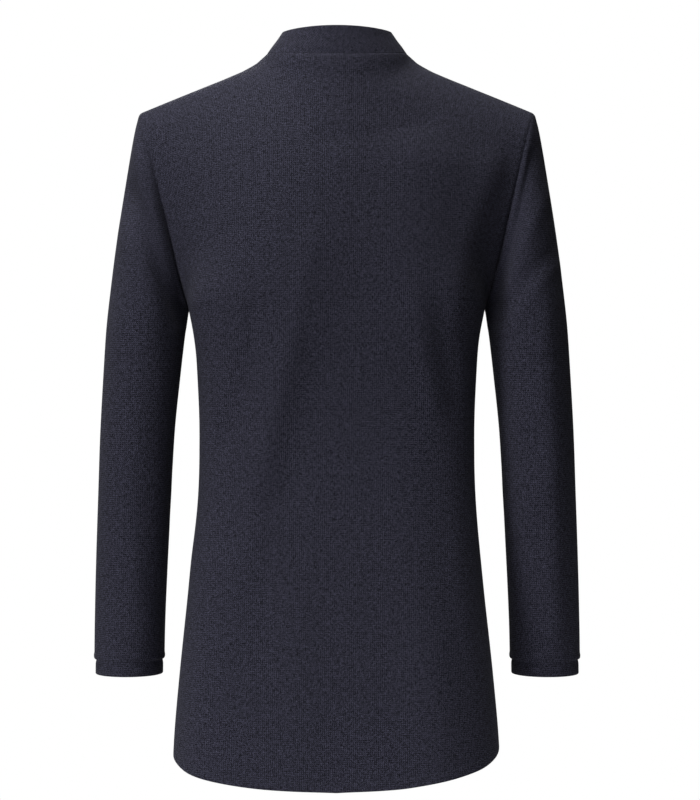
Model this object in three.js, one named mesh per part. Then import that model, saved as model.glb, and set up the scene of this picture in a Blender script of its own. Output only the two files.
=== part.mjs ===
// A longline blazer with a stand collar, in the shape it has when it is worn, with nobody in it.
// Millimetres. +Z is up, -Y is the front of the garment and +X is the wearer's left side.
// The origin is the middle of the neck opening, level with the back neck seam.
import * as THREE from "three";

// Cloth and seams
const CLOTH = 2;
const COLLAR_CLOTH = 2.5;
const SEAM_GAP = 0.3;

// Neck seam: an oval in plan that dips to the front, and the stand collar on it
const NECK = { half: 76.5, back: 62, front: 60, sideY: 4, sideZ: 8, frontDrop: 84 };
const COLLAR_HEIGHT = { back: 31.5, side: 23, front: 31 };
const COLLAR_LEAN = { back: 8, side: 17, front: 5 };

// Shoulder tip, underarm point, and how far the armhole between them bows out
const SHOULDER_TIP = new THREE.Vector3(217, 0, -58);
const UNDERARM = new THREE.Vector3(162, 0, -272);
const ARMHOLE_BOW = { back: 60, front: 80, low: 6, high: -9 };

// Height of the shoulder seam along its run from the neck to the tip
const SHOULDER_LINE = [
  { x: 76.5, z: 8 },
  { x: 84.7, z: -0.5 },
  { x: 95.2, z: -7.5 },
  { x: 106.7, z: -14 },
  { x: 121.6, z: -20.5 },
  { x: 138.6, z: -27 },
  { x: 173.3, z: -40.5 },
  { x: 217, z: -58 },
];

// Body sections, a row for each height: half width, and depth behind and in front of the side seams
const BODY_SECTIONS = [
  { z: -272, half: 162, back: 113, front: 127 },
  { z: -306, half: 155.5, back: 109.5, front: 124 },
  { z: -340, half: 152.8, back: 103.5, front: 119.5 },
  { z: -406, half: 150.3, back: 97, front: 111 },
  { z: -480, half: 151.8, back: 99, front: 108.5 },
  { z: -571, half: 159.8, back: 108, front: 111.5 },
  { z: -670, half: 170.5, back: 114, front: 115 },
  { z: -745, half: 177, back: 116, front: 117 },
  { z: -800, half: 178, back: 116, front: 117 },
];
const SECTION_POWER = { back: 3.3, front: 2.35 };

// Height of the hem by the angle round the body, 0 at the centre line and 90 at the side seam
const HEM = [
  { angle: 0, back: -786.5, front: -780, rightRise: 0 },
  { angle: 30, back: -784, front: -778, rightRise: 1 },
  { angle: 45, back: -780, front: -774, rightRise: 3.5 },
  { angle: 60, back: -771.5, front: -767, rightRise: 4.5 },
  { angle: 70, back: -763, front: -761.5, rightRise: 4.5 },
  { angle: 80, back: -757.5, front: -757.5, rightRise: 5.5 },
  { angle: 90, back: -755, front: -755, rightRise: 6.5 },
];
const FRONT_CORNER_RADIUS = 55;

// The left front laps over the right one by this much on each side of the centre line
const LAP = 18;
const LAP_STEP = 1.3;
const LAP_EASE = 30;

// Sleeve outlines seen from behind: outer and inner edge, half depth, and how far back the middle sits
const SLEEVE_RINGS = [
  { outerX: 217, outerZ: -58, innerX: 162, innerZ: -272, halfDepth: 62, backset: 0 },
  { outerX: 221.5, outerZ: -74, innerX: 162.6, innerZ: -275, halfDepth: 66, backset: 0 },
  { outerX: 226, outerZ: -98, innerX: 163.2, innerZ: -278, halfDepth: 67, backset: 1 },
  { outerX: 231.5, outerZ: -132, innerX: 163.8, innerZ: -282, halfDepth: 66, backset: 2 },
  { outerX: 237.5, outerZ: -170, innerX: 164.5, innerZ: -287, halfDepth: 65, backset: 3 },
  { outerX: 243.2, outerZ: -210, innerX: 165.4, innerZ: -293, halfDepth: 64, backset: 4 },
  { outerX: 248, outerZ: -250, innerX: 166.8, innerZ: -301, halfDepth: 63, backset: 5 },
  { outerX: 252.3, outerZ: -290, innerX: 168.6, innerZ: -315, halfDepth: 62, backset: 5 },
  { outerX: 255.4, outerZ: -335, innerX: 172, innerZ: -345, halfDepth: 59, backset: 5 },
  { outerX: 259.6, outerZ: -406, innerX: 178.4, innerZ: -406, halfDepth: 55, backset: 3 },
  { outerX: 262.4, outerZ: -472, innerX: 182.4, innerZ: -472, halfDepth: 52, backset: -2 },
  { outerX: 266, outerZ: -550, innerX: 187.2, innerZ: -550, halfDepth: 48, backset: -12 },
  { outerX: 268.7, outerZ: -620, innerX: 191, innerZ: -620, halfDepth: 46, backset: -23 },
  { outerX: 270.4, outerZ: -680, innerX: 192.8, innerZ: -680, halfDepth: 45, backset: -33 },
];
const FAN_RINGS = 9;
const SLEEVE_END = -660;
const CUFF_END = -677;
const CUFF_INSET = 1;

// Soft folds of the body: a straight run seen from behind (side 1) or in front (side -1), its half
// breadth, and how far it stands out (above zero) or sinks in (below zero)
const BODY_FOLDS = [
  { name: "hollow between the blades", side: 1, x0: 12, z0: -95, x1: 30, z1: -255, breadth: 34, height: -3 },
  { name: "left waist crease", side: 1, x0: 104, z0: -300, x1: 138, z1: -395, breadth: 15, height: -3 },
  { name: "roll beside it", side: 1, x0: 78, z0: -318, x1: 116, z1: -425, breadth: 22, height: 2 },
  { name: "right waist crease", side: 1, x0: -108, z0: -284, x1: -128, z1: -392, breadth: 15, height: -2.6 },
  { name: "left skirt fall", side: 1, x0: 45, z0: -400, x1: 92, z1: -640, breadth: 34, height: -1.6 },
  { name: "right skirt fall", side: 1, x0: -105, z0: -470, x1: -140, z1: -700, breadth: 26, height: -2 },
  { name: "left chest drape", side: -1, x0: 120, z0: -190, x1: 78, z1: -330, breadth: 20, height: -2.5 },
  { name: "right chest drape", side: -1, x0: -122, z0: -185, x1: -84, z1: -340, breadth: 20, height: -2.2 },
  { name: "left front crease", side: -1, x0: 132, z0: -345, x1: 70, z1: -395, breadth: 14, height: -2 },
  { name: "right front crease", side: -1, x0: -130, z0: -350, x1: -66, z1: -405, breadth: 14, height: -2 },
  { name: "left front fall", side: -1, x0: 96, z0: -470, x1: 120, z1: -730, breadth: 28, height: -2.5 },
  { name: "right front fall", side: -1, x0: -90, z0: -480, x1: -118, z1: -725, breadth: 28, height: -2.5 },
];

// Folds of the sleeves, in the same way, with both drawn as if they were the left one
const SLEEVE_FOLDS = {
  left: [
    { name: "underarm trough", side: 1, x0: 231, z0: -140, x1: 167, z1: -278, breadth: 13, height: -6 },
    { name: "roll along the armhole", side: 1, x0: 221, z0: -95, x1: 172, z1: -252, breadth: 9, height: 2.5 },
    { name: "front trough", side: -1, x0: 232, z0: -150, x1: 168, z1: -276, breadth: 13, height: -5 },
    { name: "elbow crease", side: -1, x0: 250, z0: -425, x1: 188, z1: -455, breadth: 14, height: -4 },
    { name: "lower elbow crease", side: -1, x0: 252, z0: -478, x1: 194, z1: -492, breadth: 12, height: -3 },
  ],
  right: [
    { name: "underarm trough", side: 1, x0: 226, z0: -115, x1: 170, z1: -268, breadth: 13, height: -6.5 },
    { name: "roll between troughs", side: 1, x0: 234, z0: -166, x1: 178, z1: -258, breadth: 9, height: 3 },
    { name: "second trough", side: 1, x0: 235, z0: -205, x1: 172, z1: -282, breadth: 9, height: -4 },
    { name: "front trough", side: -1, x0: 230, z0: -140, x1: 168, z1: -275, breadth: 13, height: -5 },
    { name: "elbow crease", side: -1, x0: 252, z0: -432, x1: 190, z1: -448, breadth: 14, height: -4 },
    { name: "lower elbow crease", side: -1, x0: 250, z0: -490, x1: 196, z1: -500, breadth: 12, height: -3 },
  ],
};

// Buttons on the centre line of the front
const BUTTON = { radius: 10.5, thickness: 3, bevel: 0.8, holeRadius: 1.1, holeOffset: 2.4, lift: 0.6 };
const BUTTON_HEIGHTS = [-112, -242, -372, -502];
const BUTTON_SIDES = 28;
const HOLE_SIDES = 8;

// How finely each piece is divided
const NECK_STEPS = 6;
const SHOULDER_STEPS = 9;
const UPPER_ROWS = 13;
const LOWER_ROWS = 14;
const LAP_STEPS = [0, 2.5, 8];
const SLEEVE_LENGTH_RINGS = 25;
const COLLAR_ROWS = 4;

const CLOTH_COLOUR = 0x2b2b3a;
const BUTTON_COLOUR = 0x16161c;
const QUARTER = Math.PI / 2;

const lerp = THREE.MathUtils.lerp;
const clamp01 = (t) => THREE.MathUtils.clamp(t, 0, 1);
const ease = (t) => clamp01(t) ** 2 * (3 - 2 * clamp01(t));

// Reads a table of named columns at a value of its first column, on a smooth curve through the rows.
function readTable(table, key, at) {
  const rows = table[1][key] > table[0][key] ? table : [...table].reverse();
  const last = rows.length - 1;
  const above = rows.findIndex((row) => row[key] > at);
  const i = above < 0 ? last - 1 : Math.max(above - 1, 0);
  const span = rows[i + 1][key] - rows[i][key];
  const t = clamp01((at - rows[i][key]) / span);
  const slope = (column, k) => {
    const a = rows[Math.max(k - 1, 0)];
    const b = rows[Math.min(k + 1, last)];
    return ((b[column] - a[column]) / (b[key] - a[key])) * span;
  };
  const found = {};
  for (const column of Object.keys(rows[0])) {
    const value = rows[i][column] * (1 + 2 * t) * (1 - t) ** 2 + rows[i + 1][column] * t * t * (3 - 2 * t);
    found[column] = value + slope(column, i) * t * (1 - t) ** 2 - slope(column, i + 1) * t * t * (1 - t);
  }
  return found;
}

// A point of the body section at height z. The angle runs from 0 at the centre line to 90 degrees at the
// side seam, side is 1 behind and -1 in front, and hand is 1 on the left and -1 on the right.
function sectionPoint(z, angle, side, hand) {
  const { half, back, front } = readTable(BODY_SECTIONS, "z", z);
  const across = Math.abs(Math.sin(angle)) / half;
  const along = Math.abs(Math.cos(angle)) / (side > 0 ? back : front);
  const power = side > 0 ? SECTION_POWER.back : SECTION_POWER.front;
  const radius = (across ** power + along ** power) ** (-1 / power);
  return new THREE.Vector3(hand * radius * Math.sin(angle), side * radius * Math.cos(angle), z);
}

// A point of the neck seam. The turn runs from 0 at the centre line to 90 degrees at the side of the neck.
function neckPoint(turn, side, hand) {
  const depth = side > 0 ? NECK.back - NECK.sideY : NECK.front + NECK.sideY;
  const y = NECK.sideY + side * depth * Math.cos(turn);
  const fall = Math.abs(Math.cos(turn)) ** 1.5;
  const z = NECK.sideZ - fall * (side > 0 ? NECK.sideZ : NECK.frontDrop);
  return new THREE.Vector3(hand * NECK.half * Math.sin(turn), y, z);
}

// A point of the shoulder seam, from the side of the neck (0) to the shoulder tip (1).
function shoulderPoint(run, hand) {
  const x = lerp(NECK.half, SHOULDER_TIP.x, run);
  const { z } = readTable(SHOULDER_LINE, "x", x);
  return new THREE.Vector3(hand * x, lerp(NECK.sideY, SHOULDER_TIP.y, run), z);
}

// A point of the armhole, from the underarm (0) to the shoulder tip (1), behind or in front.
function armholePoint(rise, side, hand) {
  const bow = side * (side > 0 ? ARMHOLE_BOW.back : ARMHOLE_BOW.front);
  const curve = new THREE.CubicBezierCurve3(
    UNDERARM,
    UNDERARM.clone().add(new THREE.Vector3(ARMHOLE_BOW.low, bow, 8)),
    SHOULDER_TIP.clone().add(new THREE.Vector3(ARMHOLE_BOW.high, bow, -6)),
    SHOULDER_TIP,
  );
  const point = curve.getPoint(rise);
  return point.set(point.x * hand, point.y, point.z);
}

// The upper edge of half a body panel: the neck seam, then the shoulder seam. The place runs from 0 at the
// centre line to 1 at the armhole, and a place below 0 is past the centre line.
const NECK_SHARE = NECK_STEPS / (NECK_STEPS + SHOULDER_STEPS);
function edgePoint(place, side, hand) {
  if (place < 0) return edgePoint(-place, side, -hand);
  if (place > 1) {
    const inside = edgePoint(2 - place, side, hand);
    return edgePoint(1, side, hand).multiplyScalar(2).sub(inside);
  }
  if (place < NECK_SHARE) return neckPoint((QUARTER * place) / NECK_SHARE, side, hand);
  return shoulderPoint((place - NECK_SHARE) / (1 - NECK_SHARE), hand);
}

// The same edge without its corner at the side of the neck, which keeps a crease out of the cloth below.
const SOFT_WEIGHTS = [1, 2, 3, 4, 3, 2, 1];
const SOFT_STEP = 0.1;
function softEdgePoint(place, side, hand) {
  const sum = new THREE.Vector3();
  SOFT_WEIGHTS.forEach((weight, k) => {
    sum.addScaledVector(edgePoint(place + (k - 3) * SOFT_STEP, side, hand), weight / 16);
  });
  return sum;
}

// A column of the upper body as a free curve from the chest up to its upper edge. On the way its foot
// keeps to its share of the angle between the centre line and the armhole.
function freePoint(place, rise, side, hand) {
  const armhole = armholePoint(rise, side, 1);
  const angle = place * Math.atan2(armhole.x, Math.abs(armhole.y));
  const foot = sectionPoint(UNDERARM.z, angle, side, hand);
  const below = sectionPoint(UNDERARM.z - 4, angle, side, hand);
  const handle = foot.clone().sub(below).multiplyScalar(lerp(32, 22, Math.abs(place)));
  const top = softEdgePoint(place, side, hand);
  const level = ease((Math.abs(place) - 0.1) / 0.45);
  const slope = lerp(side > 0 ? 0.55 : 0.3, 1, level);
  const lean = new THREE.Vector3(0, -side * slope, Math.sqrt(1 - slope ** 2));
  const reach = lerp(58, 50, level);
  const curve = new THREE.CubicBezierCurve3(
    foot,
    foot.clone().add(handle),
    top.clone().addScaledVector(lean, -reach),
    top,
  );
  const missing = edgePoint(place, side, hand).sub(top);
  return curve.getPoint(rise).addScaledVector(missing, rise ** (side > 0 ? 8 : 5));
}

// A point of the upper body: near the armhole the free curves follow the armhole's own shape.
function upperPoint(place, rise, side, hand) {
  const pull = armholePoint(rise, side, hand).sub(freePoint(1, rise, side, hand));
  return freePoint(place, rise, side, hand).addScaledVector(pull, Math.max((place - 0.25) / 0.75, 0) ** 2.2);
}

// Height of the hem at a place round the body.
function hemHeight(place, side, hand) {
  const row = readTable(HEM, "angle", Math.abs(place) * 90);
  return (side > 0 ? row.back : row.front) + (hand < 0 ? row.rightRise : 0);
}

// One column of body points, from the hem up to the neck or shoulder seam.
function bodyColumn(place, side, hand, hem) {
  const points = [];
  for (let j = 0; j < LOWER_ROWS; j++) {
    const z = lerp(hem, UNDERARM.z, j / LOWER_ROWS);
    points.push(sectionPoint(z, place * QUARTER, side, hand));
  }
  for (let j = 0; j <= UPPER_ROWS; j++) points.push(upperPoint(place, j / UPPER_ROWS, side, hand));
  return points;
}

// Places of the columns of half a body panel.
const HALF_STEPS = NECK_STEPS + SHOULDER_STEPS;
const PLACES = [...Array(HALF_STEPS + 1).keys()].map((i) => i / HALF_STEPS);

// The back, in one piece from the right armhole to the left one.
function backGrid() {
  const half = (hand) => PLACES.map((place) => bodyColumn(place, 1, hand, hemHeight(place, 1, hand)));
  return [...half(-1).slice(1).reverse(), ...half(1)];
}

// How far the front corner's rounding lifts the hem at a distance from the front edge.
function cornerLift(fromEdge) {
  const short = Math.max(FRONT_CORNER_RADIUS - fromEdge, 0);
  return FRONT_CORNER_RADIUS - Math.sqrt(FRONT_CORNER_RADIUS ** 2 - short ** 2);
}

// A column of the front's lap, straight up and down on the far side of the centre line.
function lapColumn(fromEdge, hand) {
  const past = LAP - fromEdge;
  const low = -Math.atan(past / BODY_SECTIONS[0].front) / QUARTER;
  const high = -NECK_SHARE * Math.asin(past / NECK.half) / QUARTER;
  const points = bodyColumn(low, -1, hand, hemHeight(low, -1, hand) + cornerLift(fromEdge));
  for (let j = 0; j <= UPPER_ROWS; j++) {
    const rise = j / UPPER_ROWS;
    points[LOWER_ROWS + j] = upperPoint(lerp(low, high, rise), rise, -1, hand);
  }
  for (const point of points) point.x = -hand * past;
  return points;
}

// A front, from its lapped edge to the armhole. Its lower corner is rounded.
function frontGrid(hand) {
  const columns = PLACES.map((place) => {
    const fromEdge = LAP + BODY_SECTIONS[0].front * Math.tan(Math.min(place, 0.5) * QUARTER);
    return bodyColumn(place, -1, hand, hemHeight(place, -1, hand) + cornerLift(fromEdge));
  });
  return [...LAP_STEPS.map((fromEdge) => lapColumn(fromEdge, hand)), ...columns];
}

// The sleeve's outline at a share of its length, 0 at the armhole.
const NUMBERED_RINGS = SLEEVE_RINGS.map((row, number) => ({ number, ...row }));
function sleeveRow(share) {
  return readTable(NUMBERED_RINGS, "number", share * (SLEEVE_RINGS.length - 1));
}

// The share of the sleeve's length at which its outer edge is at height z.
function shareAtHeight(z) {
  let [low, high] = [0, 1];
  for (let k = 0; k < 30; k++) {
    const middle = (low + high) / 2;
    if (sleeveRow(middle).outerZ > z) low = middle;
    else high = middle;
  }
  return low;
}

// A sleeve point on a plain oval ring. The turn starts under the arm and goes round behind.
function ovalPoint(row, turn, hand) {
  const middle = { x: (row.outerX + row.innerX) / 2, z: (row.outerZ + row.innerZ) / 2 };
  const reach = { x: (row.outerX - row.innerX) / 2, z: (row.outerZ - row.innerZ) / 2 };
  const x = middle.x - reach.x * Math.cos(turn);
  const y = row.backset + row.halfDepth * Math.sin(turn);
  return new THREE.Vector3(hand * x, y, middle.z - reach.z * Math.cos(turn));
}

// Shares of the sleeve's length at which its rings lie, ending where the cuff band starts.
const FAN_END = (FAN_RINGS - 1) / (SLEEVE_RINGS.length - 1);
const FAN_STEPS = 10;
const SLEEVE_SHARES = [...Array(SLEEVE_LENGTH_RINGS).keys()].map((k) =>
  k <= FAN_STEPS
    ? (FAN_END * k) / FAN_STEPS
    : lerp(FAN_END, shareAtHeight(SLEEVE_END), (k - FAN_STEPS) / (SLEEVE_LENGTH_RINGS - 1 - FAN_STEPS)),
);
const SLEEVE_TURNS = 2 * UPPER_ROWS;

// Columns along the sleeve, side by side round it. They start on the armhole and ease into the oval rings.
function sleeveGrid(hand) {
  return [...Array(SLEEVE_TURNS).keys()].map((i) => {
    const turn = (2 * Math.PI * i) / SLEEVE_TURNS;
    const behind = i <= UPPER_ROWS;
    const rise = (behind ? i : SLEEVE_TURNS - i) / UPPER_ROWS;
    const difference = armholePoint(rise, behind ? 1 : -1, hand).sub(ovalPoint(sleeveRow(0), turn, hand));
    return SLEEVE_SHARES.map((share) => {
      const point = ovalPoint(sleeveRow(share), turn, hand);
      return point.addScaledVector(difference, 1 - ease(share / FAN_END));
    });
  });
}

// The cuff band, set in a little from the end of the sleeve.
function cuffGrid(hand) {
  const rows = [SLEEVE_END - SEAM_GAP, CUFF_END].map((z) => sleeveRow(shareAtHeight(z)));
  for (const row of rows) {
    row.outerX -= CUFF_INSET;
    row.innerX += CUFF_INSET;
    row.halfDepth -= CUFF_INSET;
  }
  return [...Array(SLEEVE_TURNS).keys()].map((i) =>
    rows.map((row) => ovalPoint(row, (2 * Math.PI * i) / SLEEVE_TURNS, hand)),
  );
}

// The collar strip, from its left end round the back of the neck to its right end.
function collarGrid() {
  const stops = [];
  for (let i = 0; i < NECK_STEPS; i++) stops.push({ share: i / NECK_STEPS, side: -1, hand: 1 });
  for (let i = NECK_STEPS; i >= 0; i--) stops.push({ share: i / NECK_STEPS, side: 1, hand: 1 });
  for (let i = 1; i < NECK_STEPS; i++) stops.push({ share: i / NECK_STEPS, side: 1, hand: -1 });
  for (let i = NECK_STEPS; i >= 0; i--) stops.push({ share: i / NECK_STEPS, side: -1, hand: -1 });
  return stops.map(({ share, side, hand }) => {
    const turn = share * QUARTER;
    const end = side > 0 ? "back" : "front";
    const height = lerp(COLLAR_HEIGHT.side, COLLAR_HEIGHT[end], Math.cos(turn) ** 2);
    const lean = lerp(COLLAR_LEAN.side, COLLAR_LEAN[end], Math.cos(turn) ** 2);
    const inward = new THREE.Vector3(-hand * Math.sin(turn), -side * Math.cos(turn), 0);
    return [...Array(COLLAR_ROWS + 1).keys()].map((j) => {
      const up = j / COLLAR_ROWS;
      const point = neckPoint(turn, side, hand).addScaledVector(inward, lean * up ** 0.9);
      return point.add(new THREE.Vector3(0, 0, height * up));
    });
  });
}

// How far a table of folds moves a point outwards. Facing is 1 at the middle of the back and -1 at the
// middle of the front. A fold fades past its ends and away from its run.
function foldHeight(folds, point, hand, facing) {
  let sum = 0;
  for (const { side, x0, z0, x1, z1, breadth, height } of folds) {
    const length = Math.hypot(x1 - x0, z1 - z0);
    const [dx, dz] = [(x1 - x0) / length, (z1 - z0) / length];
    const along = (point.x * hand - x0) * dx + (point.z - z0) * dz;
    const across = (point.x * hand - x0) * dz - (point.z - z0) * dx;
    const past = Math.max(-along, along - length, 0) / (1.6 * breadth);
    sum += height * ease(2 * facing * side) * Math.exp(-(past ** 2) - (across / breadth) ** 2);
  }
  return sum;
}

// How far the lap moves a front: the left one stands out and the right one sinks in.
function lapHeight(point, hand) {
  return hand * LAP_STEP * (1 - ease((point.x * hand - LAP) / LAP_EASE));
}

// Outward normals of a grid of columns. A closed grid's last column is beside its first.
function gridNormals({ grid, closed, outward }) {
  const [nu, nv] = [grid.length, grid[0].length];
  return grid.map((column, i) =>
    column.map((_, j) => {
      const before = closed ? grid[(i + nu - 1) % nu] : grid[Math.max(i - 1, 0)];
      const after = closed ? grid[(i + 1) % nu] : grid[Math.min(i + 1, nu - 1)];
      const across = after[j].clone().sub(before[j]);
      const along = column[Math.min(j + 1, nv - 1)].clone().sub(column[Math.max(j - 1, 0)]);
      return across.cross(along).multiplyScalar(outward).normalize();
    }),
  );
}

// At a seam, all the panels that meet share one normal, so that their walls end face to face.
function shareSeamNormals(panels) {
  const edges = [];
  for (const panel of panels) {
    panel.normals = gridNormals(panel);
    panel.stretch = panel.grid.map((column) => column.map(() => 1));
    panel.grid.forEach((column, i) =>
      column.forEach((point, j) => {
        const atSide = !panel.closed && (i === 0 || i === panel.grid.length - 1);
        if (!atSide && j > 0 && j < column.length - 1) return;
        edges.push({ panel, i, j, point, normal: panel.normals[i][j].clone() });
      }),
    );
  }
  for (const edge of edges) {
    const groups = {};
    for (const { panel, point, normal } of edges) {
      if (point.distanceTo(edge.point) > 0.05) continue;
      groups[panel.group] = (groups[panel.group] || new THREE.Vector3()).add(normal);
    }
    const sum = new THREE.Vector3();
    Object.values(groups).forEach((normal) => sum.add(normal.normalize()));
    const closeness = sum.length() / Object.keys(groups).length;
    edge.panel.normals[edge.i][edge.j] = sum.normalize();
    edge.panel.stretch[edge.i][edge.j] = 1 / Math.max(closeness, 0.5);
  }
}

// Half the seam gap, as a step from an edge point into its own panel and square to the seam.
function seamShift({ grid, normals, closed }, i, j) {
  const [nu, nv] = [grid.length, grid[0].length];
  const near = (di, dj) => {
    const column = closed ? (i + di + nu) % nu : THREE.MathUtils.clamp(i + di, 0, nu - 1);
    return grid[column][THREE.MathUtils.clamp(j + dj, 0, nv - 1)];
  };
  const steps = [];
  if (!closed && i === 0) steps.push([1, 0]);
  if (!closed && i === nu - 1) steps.push([-1, 0]);
  if (j === 0) steps.push([0, 1]);
  if (j === nv - 1) steps.push([0, -1]);
  const shift = new THREE.Vector3();
  for (const [di, dj] of steps) {
    const seam = near(dj, di).clone().sub(near(-dj, -di)).normalize();
    const away = near(di, dj).clone().sub(grid[i][j]);
    away.addScaledVector(seam, -away.dot(seam));
    away.addScaledVector(normals[i][j], -away.dot(normals[i][j]));
    shift.addScaledVector(away.normalize(), SEAM_GAP / 2);
  }
  return shift;
}

// A closed wall from a panel's outer points: the outer skin, the inner skin and the rims between them.
// Each four-sided facet is cut along its shorter diagonal.
function wallGeometry(panel) {
  const { grid, normals, stretch, closed, thickness, outward } = panel;
  const [nu, nv] = [grid.length, grid[0].length];
  const outer = [];
  const inner = [];
  grid.forEach((column, i) =>
    column.forEach((point, j) => {
      const moved = point.clone().add(seamShift(panel, i, j));
      outer.push(...moved.toArray());
      inner.push(...moved.addScaledVector(normals[i][j], -thickness * stretch[i][j]).toArray());
    }),
  );
  const positions = [...outer, ...inner];
  const apart = (a, b) => Math.hypot(...[0, 1, 2].map((k) => positions[3 * a + k] - positions[3 * b + k]));
  const index = [];
  const quad = (a, b, c, d) => {
    if (apart(a, c) <= apart(b, d)) index.push(a, b, c, a, c, d);
    else index.push(a, b, d, b, c, d);
  };
  const at = (i, j) => (i % nu) * nv + j;
  const under = (i, j) => nu * nv + at(i, j);
  for (let i = 0; i < (closed ? nu : nu - 1); i++) {
    for (let j = 0; j < nv - 1; j++) {
      quad(at(i, j), at(i + 1, j), at(i + 1, j + 1), at(i, j + 1));
      quad(under(i, j), under(i, j + 1), under(i + 1, j + 1), under(i + 1, j));
    }
    quad(at(i, 0), under(i, 0), under(i + 1, 0), at(i + 1, 0));
    quad(at(i, nv - 1), at(i + 1, nv - 1), under(i + 1, nv - 1), under(i, nv - 1));
  }
  for (let j = 0; !closed && j < nv - 1; j++) {
    const end = nu - 1;
    quad(at(0, j), at(0, j + 1), under(0, j + 1), under(0, j));
    quad(at(end, j), under(end, j), under(end, j + 1), at(end, j + 1));
  }
  if (outward < 0) index.reverse();
  const geometry = new THREE.BufferGeometry();
  geometry.setAttribute("position", new THREE.Float32BufferAttribute(positions, 3));
  geometry.setIndex(index);
  geometry.computeVertexNormals();
  return geometry;
}

// Every cloth piece. Outward is 1 or -1, the way its grid is wound.
const panels = [
  { name: "back", group: "body", grid: backGrid(), outward: -1, side: 1, hand: 1 },
  { name: "front_left", group: "body", grid: frontGrid(1), outward: 1, side: -1, hand: 1 },
  { name: "front_right", group: "body", grid: frontGrid(-1), outward: -1, side: -1, hand: 1 },
  { name: "sleeve_left", group: "sleeve", grid: sleeveGrid(1), outward: 1, hand: 1 },
  { name: "sleeve_right", group: "sleeve", grid: sleeveGrid(-1), outward: -1, hand: -1 },
  { name: "cuff_left", group: "cuff", grid: cuffGrid(1), outward: 1 },
  { name: "cuff_right", group: "cuff", grid: cuffGrid(-1), outward: -1 },
  { name: "collar", group: "collar", grid: collarGrid(), outward: 1 },
];
for (const panel of panels) {
  panel.closed = panel.group === "sleeve" || panel.group === "cuff";
  panel.thickness = panel.group === "collar" ? COLLAR_CLOTH : CLOTH;
  if (panel.group === "body") panel.folds = BODY_FOLDS;
  if (panel.group === "sleeve") panel.folds = panel.hand > 0 ? SLEEVE_FOLDS.left : SLEEVE_FOLDS.right;
}

// Folds move the points along the plain surface's normals. They fade to nothing towards the neck, the
// shoulders, the armholes and the sleeve ends, so that the seams stay closed.
function addFolds({ group, grid, normals, folds, side, hand }) {
  const last = grid[0].length - 1;
  grid.forEach((column, i) =>
    column.forEach((point, j) => {
      let facing;
      let fade;
      if (group === "sleeve") {
        const row = sleeveRow(SLEEVE_SHARES[j]);
        facing = (point.y - row.backset) / row.halfDepth;
        fade = ease(j / 2) * ease((last - j) / 2);
      } else {
        const row = readTable(BODY_SECTIONS, "z", point.z);
        facing = point.y / (side > 0 ? row.back : row.front);
        const fromArmhole = side > 0 ? Math.min(i, grid.length - 1 - i) : grid.length - 1 - i;
        fade = ease((last - j) / 4) * (j > LOWER_ROWS ? ease(fromArmhole / 3) : 1);
      }
      point.addScaledVector(normals[i][j], fade * foldHeight(folds, point, hand, facing));
    }),
  );
}

// The fronts part where they lap.
function addLap({ grid, normals }, hand) {
  grid.forEach((column, i) =>
    column.forEach((point, j) => point.addScaledVector(normals[i][j], lapHeight(point, hand))),
  );
}

shareSeamNormals(panels);
panels.filter((panel) => panel.folds).forEach(addFolds);
shareSeamNormals(panels);
const leftFront = panels.find((panel) => panel.name === "front_left");
const rightFront = panels.find((panel) => panel.name === "front_right");
addLap(leftFront, 1);
addLap(rightFront, -1);

const blazer = new THREE.Group();
for (const panel of panels) {
  const material = new THREE.MeshStandardMaterial({ color: CLOTH_COLOUR, roughness: 0.9, metalness: 0 });
  const mesh = new THREE.Mesh(wallGeometry(panel), material);
  mesh.name = panel.name;
  blazer.add(mesh);
}

// A closed ring of straight steps, for the button's rim and holes.
function ring(path, x, y, radius, sides) {
  const turns = [...Array(sides).keys()].map((k) => (2 * Math.PI * k) / sides);
  return path.setFromPoints(
    turns.map((turn) => new THREE.Vector2(x + radius * Math.cos(turn), y + radius * Math.sin(turn))),
  );
}

// A round button with a soft edge and four holes, its back at height zero.
function buttonGeometry() {
  const { radius, thickness, bevel, holeRadius, holeOffset } = BUTTON;
  const face = ring(new THREE.Shape(), 0, 0, radius - bevel, BUTTON_SIDES);
  for (const [sx, sy] of [[1, 1], [1, -1], [-1, -1], [-1, 1]]) {
    const hole = ring(new THREE.Path(), sx * holeOffset, sy * holeOffset, holeRadius + bevel, HOLE_SIDES);
    face.holes.push(hole);
  }
  const rim = { bevelSize: bevel, bevelThickness: bevel, bevelSegments: 1 };
  return new THREE.ExtrudeGeometry(face, { depth: thickness - 2 * bevel, ...rim }).translate(0, 0, bevel);
}

// Buttons lie on the left front, each square to the cloth beneath it.
const centre = LAP_STEPS.length;
BUTTON_HEIGHTS.forEach((height, k) => {
  const column = leftFront.grid[centre];
  const above = column.findIndex((point) => point.z > height);
  const share = (height - column[above - 1].z) / (column[above].z - column[above - 1].z);
  const normals = leftFront.normals[centre];
  const normal = normals[above - 1].clone().lerp(normals[above], share).normalize();
  const material = new THREE.MeshStandardMaterial({ color: BUTTON_COLOUR, roughness: 0.45, metalness: 0 });
  const mesh = new THREE.Mesh(buttonGeometry(), material);
  mesh.name = `button_${k + 1}`;
  mesh.position.copy(column[above - 1]).lerp(column[above], share).addScaledVector(normal, BUTTON.lift);
  mesh.quaternion.setFromUnitVectors(new THREE.Vector3(0, 0, 1), normal);
  blazer.add(mesh);
});

export default blazer;
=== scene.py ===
# %% [markdown]
# # A longline blazer with a stand collar
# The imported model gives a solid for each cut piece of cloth: back, two fronts, two sleeves, two cuff
# bands, a collar and four buttons. This lesson dresses them: each solid gives way to a thin shell of
# cloth with rolled edges, seams, creases and a weave. All lengths below are in millimetres, as a
# tailor would write them, and become metres at the moment when a mesh is made.

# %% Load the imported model
import math

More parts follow.
